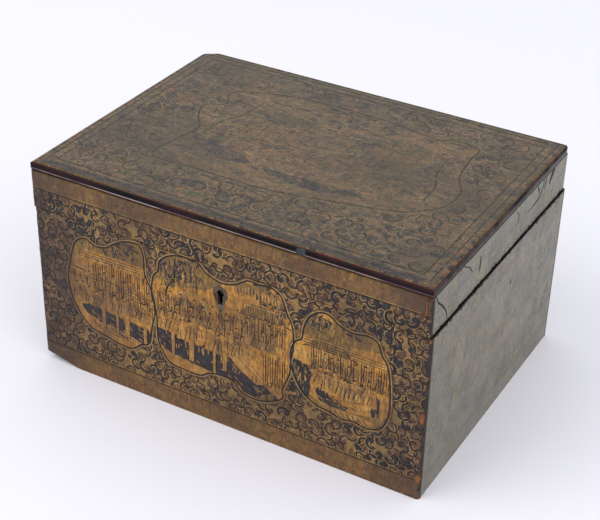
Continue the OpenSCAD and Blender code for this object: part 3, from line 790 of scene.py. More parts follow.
def tree(panel, rng, u, v, height, lean, crown):
    """A bent trunk with branches and clusters of leaves."""
    bends = ((0, 0), (0.15, 0.35), (0.75, 0.6), (1, 1))
    trunk = smooth([(u + lean * across, v + height * up) for across, up in bends], False, 2)
    panel.line("ink", trunk, 1.9, 0.25, taper=0.4)
    for k in range(5):
        start = trunk[int(len(trunk) * (0.45 + 0.1 * k))]
        end = (start[0] + rng.uniform(-1, 1) * crown, start[1] + rng.uniform(0.2, 0.8) * crown * 0.6)
        branch = smooth([start, ((start[0] + end[0]) / 2, start[1] + 1), end], False, 2)
        panel.line("ink", branch, 0.8, 0.25)
        leaves(panel, rng, *end, crown * 0.42, 9)


def weeping(panel, rng, u, v, width, length, count, tone="dark"):
    """Hanging branches, as of a willow."""
    for k in range(count):
        start = (u + width * (k / (count - 1) - 0.5), v + 2 * math.sin(k * 1.7))
        fall = length * rng.uniform(0.5, 1)
        sway = rng.uniform(-0.25, 0.45) * fall
        bends = ((0, 0), (0.7, 0.4), (1, 1))
        points = [(start[0] + sway * across, start[1] - fall * down) for across, down in bends]
        panel.line(tone, smooth(points, False, 1.6), rng.uniform(0.9, 1.8), 0.25, taper=0.6)


def columns(panel, u0, u1, v0, v1, step, lean=0.0, ink="ink", width=0.6):
    """Upright lines of a colonnade or screen, by hand and so a little uneven."""
    count = max(1, int((u1 - u0) / step))
    for k in range(count + 1):
        u = u0 + (u1 - u0) * k / count
        rise = (u - u0) * lean
        slip = 0.35 * math.sin(k * 2.3)
        ends = [(u + slip, v0 + rise), (u - slip, v1 + rise + 1.5 * slip)]
        panel.line(ink, ends, width * (1 + 0.4 * math.sin(k * 1.7)))


def rails(panel, u0, u1, v, count, gap, lean=0.0, width=0.45):
    """Lines across, one below the other."""
    for k in range(count):
        panel.line("ink", [(u0, v - k * gap), (u1, v - k * gap + (u1 - u0) * lean)], width)


def lattice(panel, u0, u1, v0, v1, step):
    """A screen of thin bars, step apart both ways."""
    columns(panel, u0, u1, v0, v1, step, width=0.35)
    rails(panel, u0, u1, v1, int((v1 - v0) / step) + 1, step, width=0.35)


def pavilion(panel, u0, u1, v0, eaves, ridge, lean=0.0):
    """A garden hall: posts, a screen between them, and a tiled roof with swept eaves."""
    width, post_half, tile = u1 - u0, 0.7, 2.2
    rise = width * lean
    panel.fill("light", box_points(u0, u1, v0, eaves, lean), 0.2)
    columns(panel, u0 + 1, u1 - 1, v0 + 1, eaves - 1, 2.1, lean)
    for k in range(4):
        u = u0 + width * k / 3
        low, high = v0 + lean * (u - u0), eaves + lean * (u - u0)
        panel.fill("light", box_points(u - post_half, u + post_half, low, high), 0.28)
        panel.line("ink", [(u + 0.9, low), (u + 0.9, high)], 0.35, 0.29)
    swept = [(u0 - 7, eaves - 1), (u0 - 3, eaves), (u1 + 3, eaves + rise), (u1 + 7, eaves - 1 + rise)]
    head = [(u1 - 3, ridge - 1 + rise), (u1 - 5, ridge + rise), (u0 + 5, ridge), (u0 + 3, ridge - 1)]
    panel.fill("olive", swept + head, 0.24)
    for k in range(int(width / tile)):
        u = u0 + 2 + k * tile
        up = lean * (u - u0)
        panel.line("ink", [(u, ridge - 1 + up), (u - 0.8, eaves + 0.8 + up)], 0.35, 0.28)
    panel.line("ink", swept, 0.8)
    panel.line("vein", [(u0 + 4, ridge + 0.6), (u1 - 4, ridge + 0.6 + rise)], 1.1, 0.3)
    panel.line("ink", [(u0 + 4, ridge + 1.5), (u1 - 4, ridge + 1.5 + rise)], 0.45, 0.3)


def person(panel, rng, u, v, height):
    """A small robed garden figure, drawn without a face."""
    tone = rng.choice(("light", "robe", "olive", "light", "panel", "robe"))
    lean, wide = rng.uniform(-0.12, 0.12), rng.uniform(0.24, 0.32)

    def lay(points):
        return turned(points, u, v, lean, height)

    robe = [(-wide, 0), (-wide * 0.8, 0.3), (-0.13, 0.6), (-0.16, 0.76), (-0.05, 0.84), (0.06, 0.84),
            (0.16, 0.75), (0.14, 0.58), (wide * 0.85, 0.28), (wide, 0), (0.05, -0.03)]
    panel.fill(tone, lay(robe), 0.26)
    for ink, width, fold in (("blob", 0.5, [(-0.13, 0.74), (-0.3, 0.5), (-0.02, 0.5)]),
                             ("blob", 0.5, [(0.13, 0.74), (0.3, 0.46), (0.04, 0.52)]),
                             ("blob", 0.6, [(-0.02, 0.5), (-0.06, 0.25), (-0.1, 0.02)]),
                             ("vein", 0.6, [(0.1, 0.5), (0.12, 0.25), (0.14, 0.04)]),
                             ("ink", 0.7, [(-wide, 0.02), (-wide * 0.8, 0.3), (-0.14, 0.6)])):
        panel.line(ink, lay(fold), width, 0.3)
    head = [(0.085 * math.cos(t), 0.92 + 0.1 * math.sin(t)) for t in (math.pi * k / 4 for k in range(8))]
    panel.fill("light", lay(head), 0.27)
    panel.fill("ink", lay([(-0.1, 0.95), (-0.06, 1.06), (0.03, 1.09), (0.1, 0.98), (0.04, 1.0)]), 0.29)


STROKES = ("light", "light", "vein", "robe", "robe", "blob", "panel", "olive", "light", "panel", "blob")
WATER_STROKES = ("blob", "olive", "ink", "robe", "light")


def flecks(panel, rng, u0, u1, v0, v1, count, tones=STROKES, lean=0.0, size=1.0):
    """Short brush strokes, upright unless they lean, as of drapery, reeds and masonry."""
    for _ in range(count):
        u, v, length = rng.uniform(u0, u1), rng.uniform(v0, v1), rng.uniform(2, 7) * size
        tilt = lean + rng.uniform(-0.2, 0.2)
        stroke = turned([(0, 0), (rng.uniform(-0.15, 0.15), 0.5), (0, 1)], u, v, tilt, length)
        panel.line(rng.choice(tones), stroke, rng.uniform(0.6, 1.4) * math.sqrt(size), 0.25, taper=0.5)


def crowd(panel, rng, u0, u1, v, count, height, depth):
    """Figures in a row, the further ones up to depth higher and behind the nearer ones."""
    spots = sorted((rng.uniform(0, depth), u0 + (u1 - u0) * (k + rng.uniform(0.2, 0.8)) / count)
                   for k in range(count))
    for rise, u in reversed(spots):
        person(panel, rng, u, v + rise, height * rng.uniform(0.85, 1.1))


def water(panel, rng, points, posts=()):
    """A dark ragged gap below a terrace, with gilt posts standing in it."""
    edge = [(u + rng.uniform(-0.9, 0.9), v + rng.uniform(-0.9, 0.9)) for u, v in smooth(points, True, 3)]
    panel.fill("dark", edge, 0.21)
    u0, u1, v0, v1 = extent(points)
    flecks(panel, rng, u0 + 3, u1 - 3, v0 + 2, v1 - 5, int((u1 - u0) / 1.6), WATER_STROKES, 1.0)
    for u, low, high, wide in posts:
        panel.fill("light", box_points(u - wide / 2, u + wide / 2, low, high), 0.26)
        panel.line("ink", [(u + wide / 2, low), (u + wide / 2 + 0.5, high)], 0.7, 0.28)


# Front face, drawn on past the rounded corners

CORNER = 3.0
FLAT = body_x / MM - CORNER
ARC = CORNER * math.pi / 2


def front_place(body, u, v, h):
    """A place on the front at height h over it, less high where the face turns away at the corners."""
    side = 1 if u > 0 else -1
    over = min(max(abs(u) - FLAT, 0), ARC) / CORNER
    h *= math.cos(over) ** 2
    x = side * (min(abs(u), FLAT) + (CORNER + h) * math.sin(over))
    y = front_y / MM + CORNER - (CORNER + h) * math.cos(over)
    return (x * MM + (lid_shift if body == "lid" else 0), y * MM, v * MM)


front_windows = []
BENDS = (0.25, 0.5, 0.75, 0.9)
EDGES = [-FLAT - ARC * k for k in reversed(BENDS)] + [-FLAT, FLAT] + [FLAT + ARC * k for k in BENDS]
for left, right in zip(EDGES, EDGES[1:]):
    front_windows.append(("body", left, right, 0.4, rim / MM - SPLIT_GAP))
    front_windows.append(("lid", left, right, lid_low / MM + SPLIT_GAP, rail_top / MM - 0.1))

front = Relief("front", "front", front_place, front_windows)
rng = random.Random(11)

LEFT_PANEL = [(-141, 132), (-131, 138), (-121, 134), (-110, 136), (-102, 142), (-90, 148), (-77, 149),
              (-73, 139), (-72, 122), (-66, 109), (-63, 92), (-67, 72), (-70, 56), (-79, 51), (-88, 44),
              (-101, 44), (-116, 47), (-131, 51), (-142, 63), (-149, 78), (-151, 96), (-147, 115)]
MIDDLE_PANEL = [(-64, 124), (-59, 131), (-57, 141), (-47, 149), (-35, 152), (-21, 151), (-12, 144),
                (1, 140), (14, 143), (25, 150), (35, 150), (46, 151), (55, 146), (61, 132), (66, 120),
                (67, 104), (65, 90), (64, 76), (58, 59), (58, 50), (48, 43), (35, 39), (20, 41), (12, 49),
                (-1, 50), (-11, 48), (-19, 43), (-30, 42), (-49, 44), (-56, 52), (-61, 64), (-62, 90),
                (-66, 106)]
RIGHT_PANEL = [(65, 101), (69, 110), (74, 114), (76, 126), (80, 136), (88, 143), (97, 144), (106, 138),
               (118, 135), (130, 137), (139, 134), (143, 124), (148, 116), (151, 100), (152, 76), (149, 62),
               (143, 54), (132, 51), (121, 53), (111, 51), (100, 54), (88, 56), (77, 63), (69, 75),
               (65, 88)]

left_panel = Panel(front, LEFT_PANEL)
middle_panel = Panel(front, MIDDLE_PANEL, hole=drop(-1.4))
right_panel = Panel(front, RIGHT_PANEL)
panels = (left_panel, middle_panel, right_panel)


def front_tone(u, v, pick):
    """More of the leaves are black near the top corners and at the right foot."""
    black_share = 0.1
    for cu, cv, reach in ((-138, 160, 26), (118, 128, 34), (152, 30, 22), (150, 160, 24), (-20, 162, 14)):
        black_share += 0.75 * math.exp(-((u - cu) ** 2 + (v - cv) ** 2) / reach ** 2)
    return "dark" if pick < black_share else "blob"


LID_LINE, FOOT_LINE = 171.3, 18.6
# Just short of the ends of the rounded corners
ARRIS = 183
# Where the worn left corner's cut meets the foot, and how high it is at the corner
WORN_FOOT = (-146, 8.6)
scatter(front, rng, (-182, ARRIS + 1, 22, 169.5), 9.2, (4.8, 6.4), panels, front_tone)
for low, high, line in ((LID_LINE, rail_top / MM - 0.1, LID_LINE), (0.4, FOOT_LINE, FOOT_LINE)):
    end = -ARRIS - 1
    foot = [(WORN_FOOT[0], low), (ARRIS, low), (ARRIS, high), (end, high), (end, WORN_FOOT[1])]
    front.fill("band", foot if low < 1 else box_points(end, ARRIS, low, high), 0.2, "bands")
    front.line("ink", [(-ARRIS, line), (ARRIS, line)], 0.9, 0.24, "bands")
    front.line("vein", [(-ARRIS, line + 1.0), (ARRIS, line + 1.0)], 0.5, 0.22, "bands")
for panel in panels:
    panel.frame()

# Left picture
p = left_panel
p.fill("olive", box_points(-152, -60, 128, 152), 0.2)
weeping(p, rng, -118, 140, 30, 14, 11)
leaves(p, rng, -92, 138, 14, 46)
leaves(p, rng, -133, 130, 8, 14, "olive")
p.fill("light", [(-152, 118), (-62, 121), (-62, 126), (-152, 125)], 0.21)
rails(p, -152, -62, 125, 3, 2.4, 0.02)
for k in range(9):
    leaves(p, rng, -126 + k * 3.4, 121 + (k % 2) * 2, 1.4, 4, "dark", 1.3)
columns(p, -124, -64, 88, 118, 2.3)
p.fill("light", box_points(-150, -124, 92, 112), 0.21)
rails(p, -152, -62, 108, 3, 3.2, -0.12)
p.fill("olive", [(-152, 106), (-110, 95), (-92, 90), (-92, 86), (-118, 90), (-152, 99)], 0.23)
lattice(p, -88, -66, 76, 88, 2.6)
flecks(p, rng, -150, -62, 72, 132, 330)
crowd(p, rng, -146, -66, 92, 11, 14, 8)
crowd(p, rng, -146, -70, 74, 12, 17, 6)
water(p, rng, [(-134, 74), (-62, 66), (-62, 50), (-90, 52), (-128, 62)],
      [(-116, 54, 76, 3.4), (-102, 53, 76, 2.4), (-92, 53, 74, 4.4), (-74, 52, 70, 3)])
p.fill("light", [(-128, 58), (-108, 50), (-84, 47), (-70, 50), (-88, 56), (-110, 60)], 0.24)
rails(p, -126, -76, 57, 2, 3.2, -0.1)
flecks(p, rng, -130, -66, 44, 62, 40, ("olive", "robe", "dark"), 1.2)
flecks(p, rng, -146, -66, 56, 80, 40, ("light", "vein", "robe"))

# Middle picture
p = middle_panel
p.fill("olive", [(-66, 120), (-58, 154), (-12, 154), (2, 138), (-14, 128), (-40, 122)], 0.2)
weeping(p, rng, -40, 148, 34, 26, 12)
weeping(p, rng, -22, 146, 16, 30, 8, "olive")
tree(p, rng, -52, 108, 30, 10, 14)
leaves(p, rng, -30, 142, 15, 30)
leaves(p, rng, 40, 142, 16, 40)
leaves(p, rng, 56, 132, 9, 22)
p.fill("olive", [(12, 138), (62, 134), (62, 140), (40, 150), (14, 146)], 0.2)
for k in range(14):
    u = 14 + k * 3.0
    p.line("light", [(u, 146 - 0.25 * k), (u + 0.6, 138 - 0.25 * k)], 1.1, 0.28, taper=0.5)
pavilion(p, 22, 58, 96, 118, 128, 0.02)
columns(p, -60, 20, 96, 112, 2.6)
lattice(p, -34, -14, 100, 112, 2.5)
p.fill("light", [(-66, 94), (20, 90), (20, 95), (-66, 99)], 0.21)
rails(p, -66, 20, 98, 3, 2.2, -0.04)
flecks(p, rng, -64, 64, 72, 140, 620)
crowd(p, rng, -60, 60, 98, 15, 15, 8)
crowd(p, rng, -60, 50, 86, 14, 17, 7)
crowd(p, rng, -60, 26, 70, 13, 20, 8)
water(p, rng,
      [(-62, 82), (-50, 76), (-36, 80), (-22, 72), (-8, 76), (20, 64), (18, 50), (-20, 52), (-56, 58)],
      [(-46, 54, 76, 3), (-28, 54, 76, 5), (-6, 50, 74, 2.4), (4, 56, 74, 3.6)])
p.fill("light", [(8, 88), (28, 74), (44, 58), (34, 54), (14, 66), (4, 80)], 0.25)
rails(p, 8, 40, 86, 3, 2.6, -0.75)
p.fill("dark", [(24, 62), (44, 54), (56, 46), (40, 40), (22, 42), (14, 50)], 0.21)
columns(p, 40, 62, 60, 86, 2.2)
columns(p, 30, 62, 56, 62, 3.4)
p.fill("light", [(-30, 52), (6, 48), (14, 44), (-16, 42), (-44, 48)], 0.24)
leaves(p, rng, 40, 48, 10, 16, "olive")
flecks(p, rng, -58, 26, 56, 78, 44, ("light", "panel", "robe", "light"))
flecks(p, rng, 10, 60, 44, 66, 30, ("olive", "robe", "blob"), 0.9)

# The dark stroke that runs on below the key plate's tip
tip = key_z - DROP_L
for ink, down, wide in (("blob", 6.5, 3.4), ("dark", 5, 1.6)):
    front.line(ink, [(0, tip + 4), (0.6, tip), (0.8, tip - down)], wide, 0.3, "panels", taper=0.7)

# Right picture
p = right_panel
leaves(p, rng, 88, 134, 11, 40)
leaves(p, rng, 118, 131, 18, 34, "olive")
p.fill("olive", [(68, 116), (150, 126), (150, 136), (80, 140)], 0.19)
p.fill("dark", [(108, 136), (122, 133), (128, 129), (112, 131)], 0.22)
p.fill("light", [(66, 112), (152, 112), (152, 117), (66, 119)], 0.22)
rails(p, 66, 152, 118, 3, 2.5, -0.02)
pavilion(p, 82, 116, 92, 110, 118)
columns(p, 118, 150, 88, 110, 2.1)
lattice(p, 96, 112, 94, 104, 2.3)
p.fill("light", [(64, 92), (80, 92), (80, 106), (66, 106)], 0.22)
water(p, rng, [(64, 92), (82, 88), (82, 62), (74, 66)])
rails(p, 64, 150, 91, 2, 2.0)
flecks(p, rng, 66, 150, 62, 134, 330)
crowd(p, rng, 84, 146, 88, 9, 14, 6)
crowd(p, rng, 84, 138, 70, 12, 18, 8)
water(p, rng, [(90, 74), (106, 68), (116, 64), (112, 60), (92, 60)])
water(p, rng, [(137, 82), (143, 82), (143, 66), (137, 64)])
columns(p, 144, 150, 64, 88, 1.8, ink="light", width=0.8)
p.fill("olive", [(70, 70), (92, 60), (118, 60), (150, 66), (146, 54), (110, 50), (80, 54)], 0.2)
p.fill("light", [(96, 58), (120, 60), (140, 58), (134, 50), (112, 51)], 0.25)
for k in range(7):
    p.line("ink", smooth([(100 + k * 5, 58), (104 + k * 5, 54), (112 + k * 5, 51)], False, 2), 0.7, 0.28)
flecks(p, rng, 76, 146, 52, 66, 40, ("olive", "robe", "light", "blob"), 1.3)

# Bare wood where the lacquer is gone from the right corner, and painted shade, partly wear, along both
# rounded corners
BARE_SPOTS = ((179.6, 188, 1.6, 3.2), (177.4, 178, 0.8, 8), (179.2, 79, 2.4, 5.4),
              (179.6, 21, 2.6, 3.8), (180.6, 150, 1.4, 2.2), (176, 171.6, 2.4, 0.9))
for u, v, half, tall in BARE_SPOTS:
    spot = [(u + half * math.cos(a) * rng.uniform(0.7, 1.2), v + tall * math.sin(a) * rng.uniform(0.7, 1.2))
            for a in (math.tau * k / 10 for k in range(10))]
    front.line("ink", spot, 0.9, 0.3, "wear", closed=True)
    front.fill("bare", spot, 0.34, "wear")
# painted shade: a dark strip and a black line down the right rounded corner
strip = [(181.6 - 3.6 * rng.random() ** 2 - 0.5 * math.sin(k), 8 + 3 * k) for k in range(60)]
front.fill("dark", [(ARRIS + 1, 8), *strip, (ARRIS + 1, 185)], 0.25, "wear")
front.line("ink", [(182.6, 2), (182.6, 186)], 1.3, 0.28, "wear")
# dark strokes along both corners: wear, and painted shade where the corners turn away
for side, count in ((-1, 26), (1, 30)):
    for _ in range(count):
        v = rng.uniform(14, 184)
        deepest = side * (ARRIS - rng.uniform(0.4, 1.8))
        edge = [(side * ARRIS, v), (deepest, v + 4), (side * ARRIS, v + rng.uniform(8, 18))]
        front.line("dark", smooth(edge, False, 3), rng.uniform(0.8, 2.0), 0.26, "wear", taper=0.8)
front.build()


# Top, sides and back. Their gilding lies flatter than the front's

FACE_DEPTH = 0.25


def top_place(body, u, v, h):
    return (u * MM + lid_shift, v * MM, lid_top + (h - SUNK) * MM)


def right_place(body, u, v, h):
    return ((lid_right if body == "lid" else body_x - SUNK * MM) + h * MM, u * MM, v * MM)


def left_place(body, u, v, h):
    return ((lid_left if body == "lid" else -body_x) - h * MM, -u * MM, v * MM)


def back_place(body, u, v, h):
    return (-u * MM + (lid_shift if body == "lid" else 0), back_y + h * MM, v * MM)


def even_tone(u, v, pick):
    return "dark" if pick < 0.3 else "blob"


def lobed(u, v, half_u, half_v):
    """A broad outline with shallow lobes."""
    lobes, deep, square = 10, 0.07, 3.2
    points = []
    for i in range(lobes * 6):
        a = math.tau * i / (lobes * 6)
        c, s = math.cos(a), math.sin(a)
        r = (abs(c) ** square + abs(s) ** square) ** (-1 / square)
        r *= 1 - deep + deep * abs(math.cos(lobes * a / 2)) * 1.6
        points.append((u + half_u * r * c, v + half_v * r * s))
    return points


def border(relief, half_u, v0, v1, inset, gap):
    """A pair of lines round a face, with a gilt edge left only at the right."""
    for away, width in ((inset, 1.3), (inset + gap, 1.3)):
        corners = box_points(-half_u + away, half_u - away, v0 + away, v1 - away)
        for a, b in zip(corners, corners[1:] + corners[:1]):
            relief.line("ink", [a, b], width, 0.1, "bands")
        right = half_u - away - 1.2
        relief.line("light", [(right, v0 + away), (right, v1 - away)], 0.5, 0.1, "bands")


def garden(panel, rng, scale, lean):
    """A broad worn garden picture: halls, trees, a terrace with people, water and a bank."""
    half_u, half_v = (panel.u1 - panel.u0) / 2, (panel.v1 - panel.v0) / 2

    def at(share_u, share_v):
        return panel.u + share_u * half_u, panel.v + share_v * half_v

    def strokes(count, tones, size):
        flecks(panel, rng, u0, u1, v0, v1, int(count * scale), tones, lean, size * scale)

    u0, v0 = at(-1, -1)
    u1, v1 = at(1, 1)
    strokes(90, ("dark", "light", "olive", "robe", "vein", "blob"), 2)
    for left, right, low, eaves, ridge in ((-0.62, -0.2, -0.1, 0.32, 0.56), (0.12, 0.62, -0.05, 0.4, 0.66)):
        (hall_left, floor_level), (hall_right, eaves_level) = at(left, low), at(right, eaves)
        pavilion(panel, hall_left, hall_right, floor_level, eaves_level, at(0, ridge)[1])
    rails(panel, u0, u1, at(0, -0.12)[1], 3, 2.4 * scale)
    terrace_left, terrace_level = at(-0.8, -0.5)
    crowd(panel, rng, terrace_left, at(0.75, 0)[0], terrace_level, int(11 * scale), 13 * scale, 9 * scale)
    tree(panel, rng, *at(-0.78, -0.3), half_v * 0.95, 9 * scale, 15 * scale)
    tree(panel, rng, *at(0.84, -0.35), half_v * 0.9, -8 * scale, 14 * scale)
    for pool in (((-0.88, -0.3), (-0.5, -0.42), (-0.3, -0.6), (-0.55, -0.66)),
                 ((-0.2, -0.62), (0.3, -0.58), (0.5, -0.62), (0.1, -0.76))):
        water(panel, rng, [at(*corner) for corner in pool])
    leaves(panel, rng, *at(0, 0.78), 24 * scale, 46, "dark", 2.6 * scale)
    strokes(110, ("dark", "light", "olive", "robe", "panel", "panel"), 1.6)


TOP_PANEL = [(-104, -70), (-105, -39), (-100, -9), (-112, 10), (-120, 31), (-105, 44), (-113, 65),
             (-88, 80), (-57, 88), (-8, 91), (42, 88), (84, 81), (94, 88), (120, 83), (122, 62), (127, 30),
             (138, 8), (138, -15), (130, -30), (109, -46), (63, -58), (6, -70), (-58, -71)]
top = Relief("top", "top", top_place, [("lid", -177.8, 177.8, -128.8, 128.8)], FACE_DEPTH)
top_panel = Panel(top, TOP_PANEL)
rng = random.Random(23)
flat_strokes = ("dark", "robe", "vein", "olive", "blob", "ground", "light")
for _ in range(420):
    u, v, length = rng.uniform(-172, 170), rng.uniform(-122, 122), rng.uniform(4, 16)
    stroke = turned([(0, 0), (0.3, rng.uniform(-0.2, 0.2)), (0.7, rng.uniform(-0.2, 0.2)), (1, 0)], u, v,
                    rng.uniform(-0.7, 0.7), length)
    top.line(rng.choice(flat_strokes), stroke, rng.uniform(0.9, 2.6), 0.04, taper=0.7)
scatter(top, rng, (-160, 158, -108, 112), 15, (6, 9), [top_panel], even_tone, 0.15)
top.fill("dark", box_points(-178, 178, -129, -121), 0.05, "bands")
top.fill("blob", box_points(170.5, 178, -129, 129), 0.055, "bands")
border(top, 178, -129, 129, 4.5, 7.5)
top_panel.frame(5, 1.9)
garden(top_panel, rng, 1.6, math.pi / 2)
for k in range(16):
    low, high = (122 + 2.1 * k, -17 + rng.uniform(-1, 1)), (123 + 2.1 * k, -10 + rng.uniform(-1, 1))
    top.line("vein", [low, high], 0.7, 0.14)
top.fill("bare", [(-20.9, 59.6), (-20.1, 59.2), (-19.3, 60), (-20, 60.7)], 0.3)
top.build()


def ragged(relief, rng, half, level, way):
    """Chipped lacquer and painted shade of the gap along one edge of the split between lid and body."""
    step = 2.2
    edge = []
    for k in range(int(2 * half / step)):
        depth = 0.1 + 0.3 * abs(math.sin(0.23 * k)) + rng.uniform(0, 0.4)
        depth += rng.uniform(0.8, 2.4) if rng.random() < 0.2 else 0
        edge.append((-half + step * k, level + way * depth))
    relief.fill("bare", [(-half, level - way), *edge, (half, level - way)], 0.3, "wear")


# Cracks in the lid's right side, in face millimetres, and their widths
CRACKS = (
    (1.5, ((-130, 190.6), (-125, 180.4), (-117, 173), (-110.6, 165.9), (-107, 160), (-104.9, 153.2))),
    (2.0, ((-49, 179.2), (-48.6, 173), (-49.5, 165.7))),
    (0.9, ((-85.8, 191), (-78, 185), (-71, 181), (-65, 175), (-61.8, 171.5))),
    (5.5, ((101, 190), (98.5, 185), (94, 180), (91, 176))),
    (1.4, ((78.2, 187), (77, 182), (73, 176), (68, 172.7), (58, 171.2), (47, 171))),
    (1.6, ((64.3, 186), (67, 182), (68.1, 178))),
    (1.3, ((84, 187), (82, 181), (80, 176))),
    (0.8, ((20, 184), (26, 178), (24, 170))),
)
SIDE_STROKES = ("ground", "blob", "vein", "olive", "light")

for side_name, side_place, half, seed in (("right", right_place, 130, 31), ("left", left_place, 130, 37),
                                          ("back", back_place, 179, 41)):
    body_window = ("body", -half, half, 0.6, rim / MM - SPLIT_GAP)
    lid_window = ("lid", -half, half, lid_low / MM + SPLIT_GAP, rail_top / MM - 0.2)
    side = Relief(side_name, "side", side_place, [body_window, lid_window], FACE_DEPTH)
    side_panel = Panel(side, lobed(0, 88, half - 42, 48))
    rng = random.Random(seed)
    for _ in range(int(half * 3.4)):
        u, v, length = rng.uniform(-half, half), rng.uniform(10, 180), rng.uniform(6, 26)
        stroke = turned([(0, 0), (0.5, rng.uniform(-0.05, 0.05)), (1, 0)], u, v, math.pi / 2, length)
        side.line(rng.choice(SIDE_STROKES), stroke, rng.uniform(0.6, 1.6), 0.03, taper=0.7)
    scatter(side, rng, (-half + 8, half - 8, 26, 166), 13.5, (5.4, 7.4), [side_panel], even_tone, 0.25)
    for level in (LID_LINE, FOOT_LINE):
        side.line("ink", [(-half, level), (half, level)], 0.8, 0.1, "bands")
    side_panel.frame(3, 0.8)
    garden(side_panel, rng, 1.1, 0.0)
    # dark ragged strips along the split: chips, and painted shade of the gap
    ragged(side, rng, half, body_window[4], -1)
    ragged(side, rng, half, lid_window[3], 1)
    if side_name == "right":
        for width, points in CRACKS:
            side.line("bare", smooth(points, False, 2), width, 0.34, "wear", taper=0.75)
    side.build()


# Pieces that stand for CAD nodes

def copied(name, made_name, material=None):
    """A copy of a CAD node that stands for it, free to be reshaped."""
    source = nodes[name]
    mesh = source.data.copy()
    piece = linked(made_name, mesh)
    if material is not None:
        mesh.materials.clear()
        mesh.materials.append(material)
    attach(piece, source["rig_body"])
    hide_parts(name)
    return piece


def set_back(piece, axis, limit, place):
    """Moves the vertices beyond limit on an axis to one place."""
    for vertex in piece.data.vertices:
        if vertex.co[axis] > limit:
            vertex.co[axis] = place


def plain_shading(mesh):
    """Drops stored normals, which a cut leaves wrong, and keeps only blunt edges smooth."""
    stored = mesh.attributes.get("custom_normal")
    if stored is not None:
        mesh.attributes.remove(stored)
    mesh.shade_smooth()
    mesh.set_sharp_from_angle(angle=math.radians(35))


def cut_off(piece, *planes):
    """Takes away what lies beyond each plane, given by three points in mm, and closes the cut."""
    piece.data.materials.append(dark_lacquer)
    shape = bmesh.new()
    shape.from_mesh(piece.data)
    bmesh.ops.remove_doubles(shape, verts=shape.verts[:], dist=1e-6)
    for a, b, c in (map(Vector, plane) for plane in planes):
        parts = shape.verts[:] + shape.edges[:] + shape.faces[:]
        made = bmesh.ops.bisect_plane(shape, geom=parts, dist=1e-7, plane_co=a * MM,
                                      plane_no=(b - a).cross(c - a), clear_outer=True)
        rims = [e for e in made["geom_cut"] if isinstance(e, bmesh.types.BMEdge)]
        for face in bmesh.ops.holes_fill(shape, edges=rims)["faces"]:
            face.material_index = len(piece.data.materials) - 1
    shape.to_mesh(piece.data)
    shape.free()
    plain_shading(piece.data)


def upright(points):
    """Upright planes through the neighbours of a row of places on the top."""
    return [((*a, 180), (*b, 180), (*a, 200)) for a, b in zip(points, points[1:])]


def chip(piece, points, low, high):
    """Breaks an upright prism, given by its corners from above in mm, out of a piece."""
    cutter = bmesh.new()
    rings = [[cutter.verts.new((u * MM, v * MM, z * MM)) for u, v in points] for z in (low, high)]
    cutter.faces.new(rings[0][::-1])
    cutter.faces.new(rings[1])
    for i in range(len(points)):
        j = (i + 1) % len(points)
        cutter.faces.new((rings[0][i], rings[0][j], rings[1][j], rings[1][i]))
    bmesh.ops.recalc_face_normals(cutter, faces=cutter.faces[:])
    mesh = bpy.data.meshes.new("cutter")
    mesh.materials.append(worn_grey)
    cutter.to_mesh(mesh)
    cutter.free()
    tool = linked("cutter", mesh)
    cut = piece.modifiers.new("chip", "BOOLEAN")
    cut.operation, cut.solver, cut.material_mode, cut.object = "DIFFERENCE", "EXACT", "TRANSFER", tool
    bpy.context.view_layer.update()
    held = bpy.data.meshes.new_from_object(piece.evaluated_get(bpy.context.evaluated_depsgraph_get()))
    piece.modifiers.clear()
    piece.data = held
    plain_shading(held)
    bpy.data.objects.remove(tool)


panel_shell = shell("shell_lid_panel", "top", 2, rail_top + 5 * MM, -1, 1)
panel_piece = copied("lid_panel", "lid_top_board", panel_shell)
set_back(panel_piece, 2, lid_top - HAIR, lid_top - SUNK * MM)

# Corners of the lid's top that are worn round, walked so that the wear lies on the left
LEFT_WORN = ((-162, 133.6), (-171, 130), (-179.6, 124.6), (-184.2, 117))
RIGHT_WORN = ((181, 123), (180, 129.4), (176, 132.4), (169, 133.6))
left_bead = copied("bead_left", "left_bead")
back_bead = copied("bead_back", "back_bead")
right_bead = copied("bead_right", "right_bead")
front_bead = copied("bead_front", "front_bead")
for piece in (left_bead, back_bead, panel_piece):
    cut_off(piece, *upright(LEFT_WORN))
for piece in (right_bead, back_bead):
    cut_off(piece, *upright(RIGHT_WORN))

CHIP = ((66.4, -134), (68.2, -131.9), (70.2, -132.3), (72.4, -131.6), (74.6, -132.4), (75.4, -134))
chip(front_bead, CHIP, 187.2, 195)

# The worn foot at the front left corner
corner_x, corner_y = -body_x / MM, front_y / MM
FOOT_CUT = ((WORN_FOOT[0], corner_y, 0), (corner_x, corner_y, WORN_FOOT[1]), (corner_x, -106, 0))
for name, made_name, slot_name in (("front_board", "front_wall", "gilt_lacquer"),
                                   ("left_board", "left_wall", "gilt_lacquer"),
                                   ("bottom_board", "bottom_wall", "black_lacquer"),
                                   ("bottom_pins", "foot_pins", "bamboo")):
    piece = copied(name, made_name)
    cut_off(piece, FOOT_CUT)
side_piece = copied("right_board", "right_wall")
set_back(side_piece, 0, body_x - HAIR, body_x - SUNK * MM)


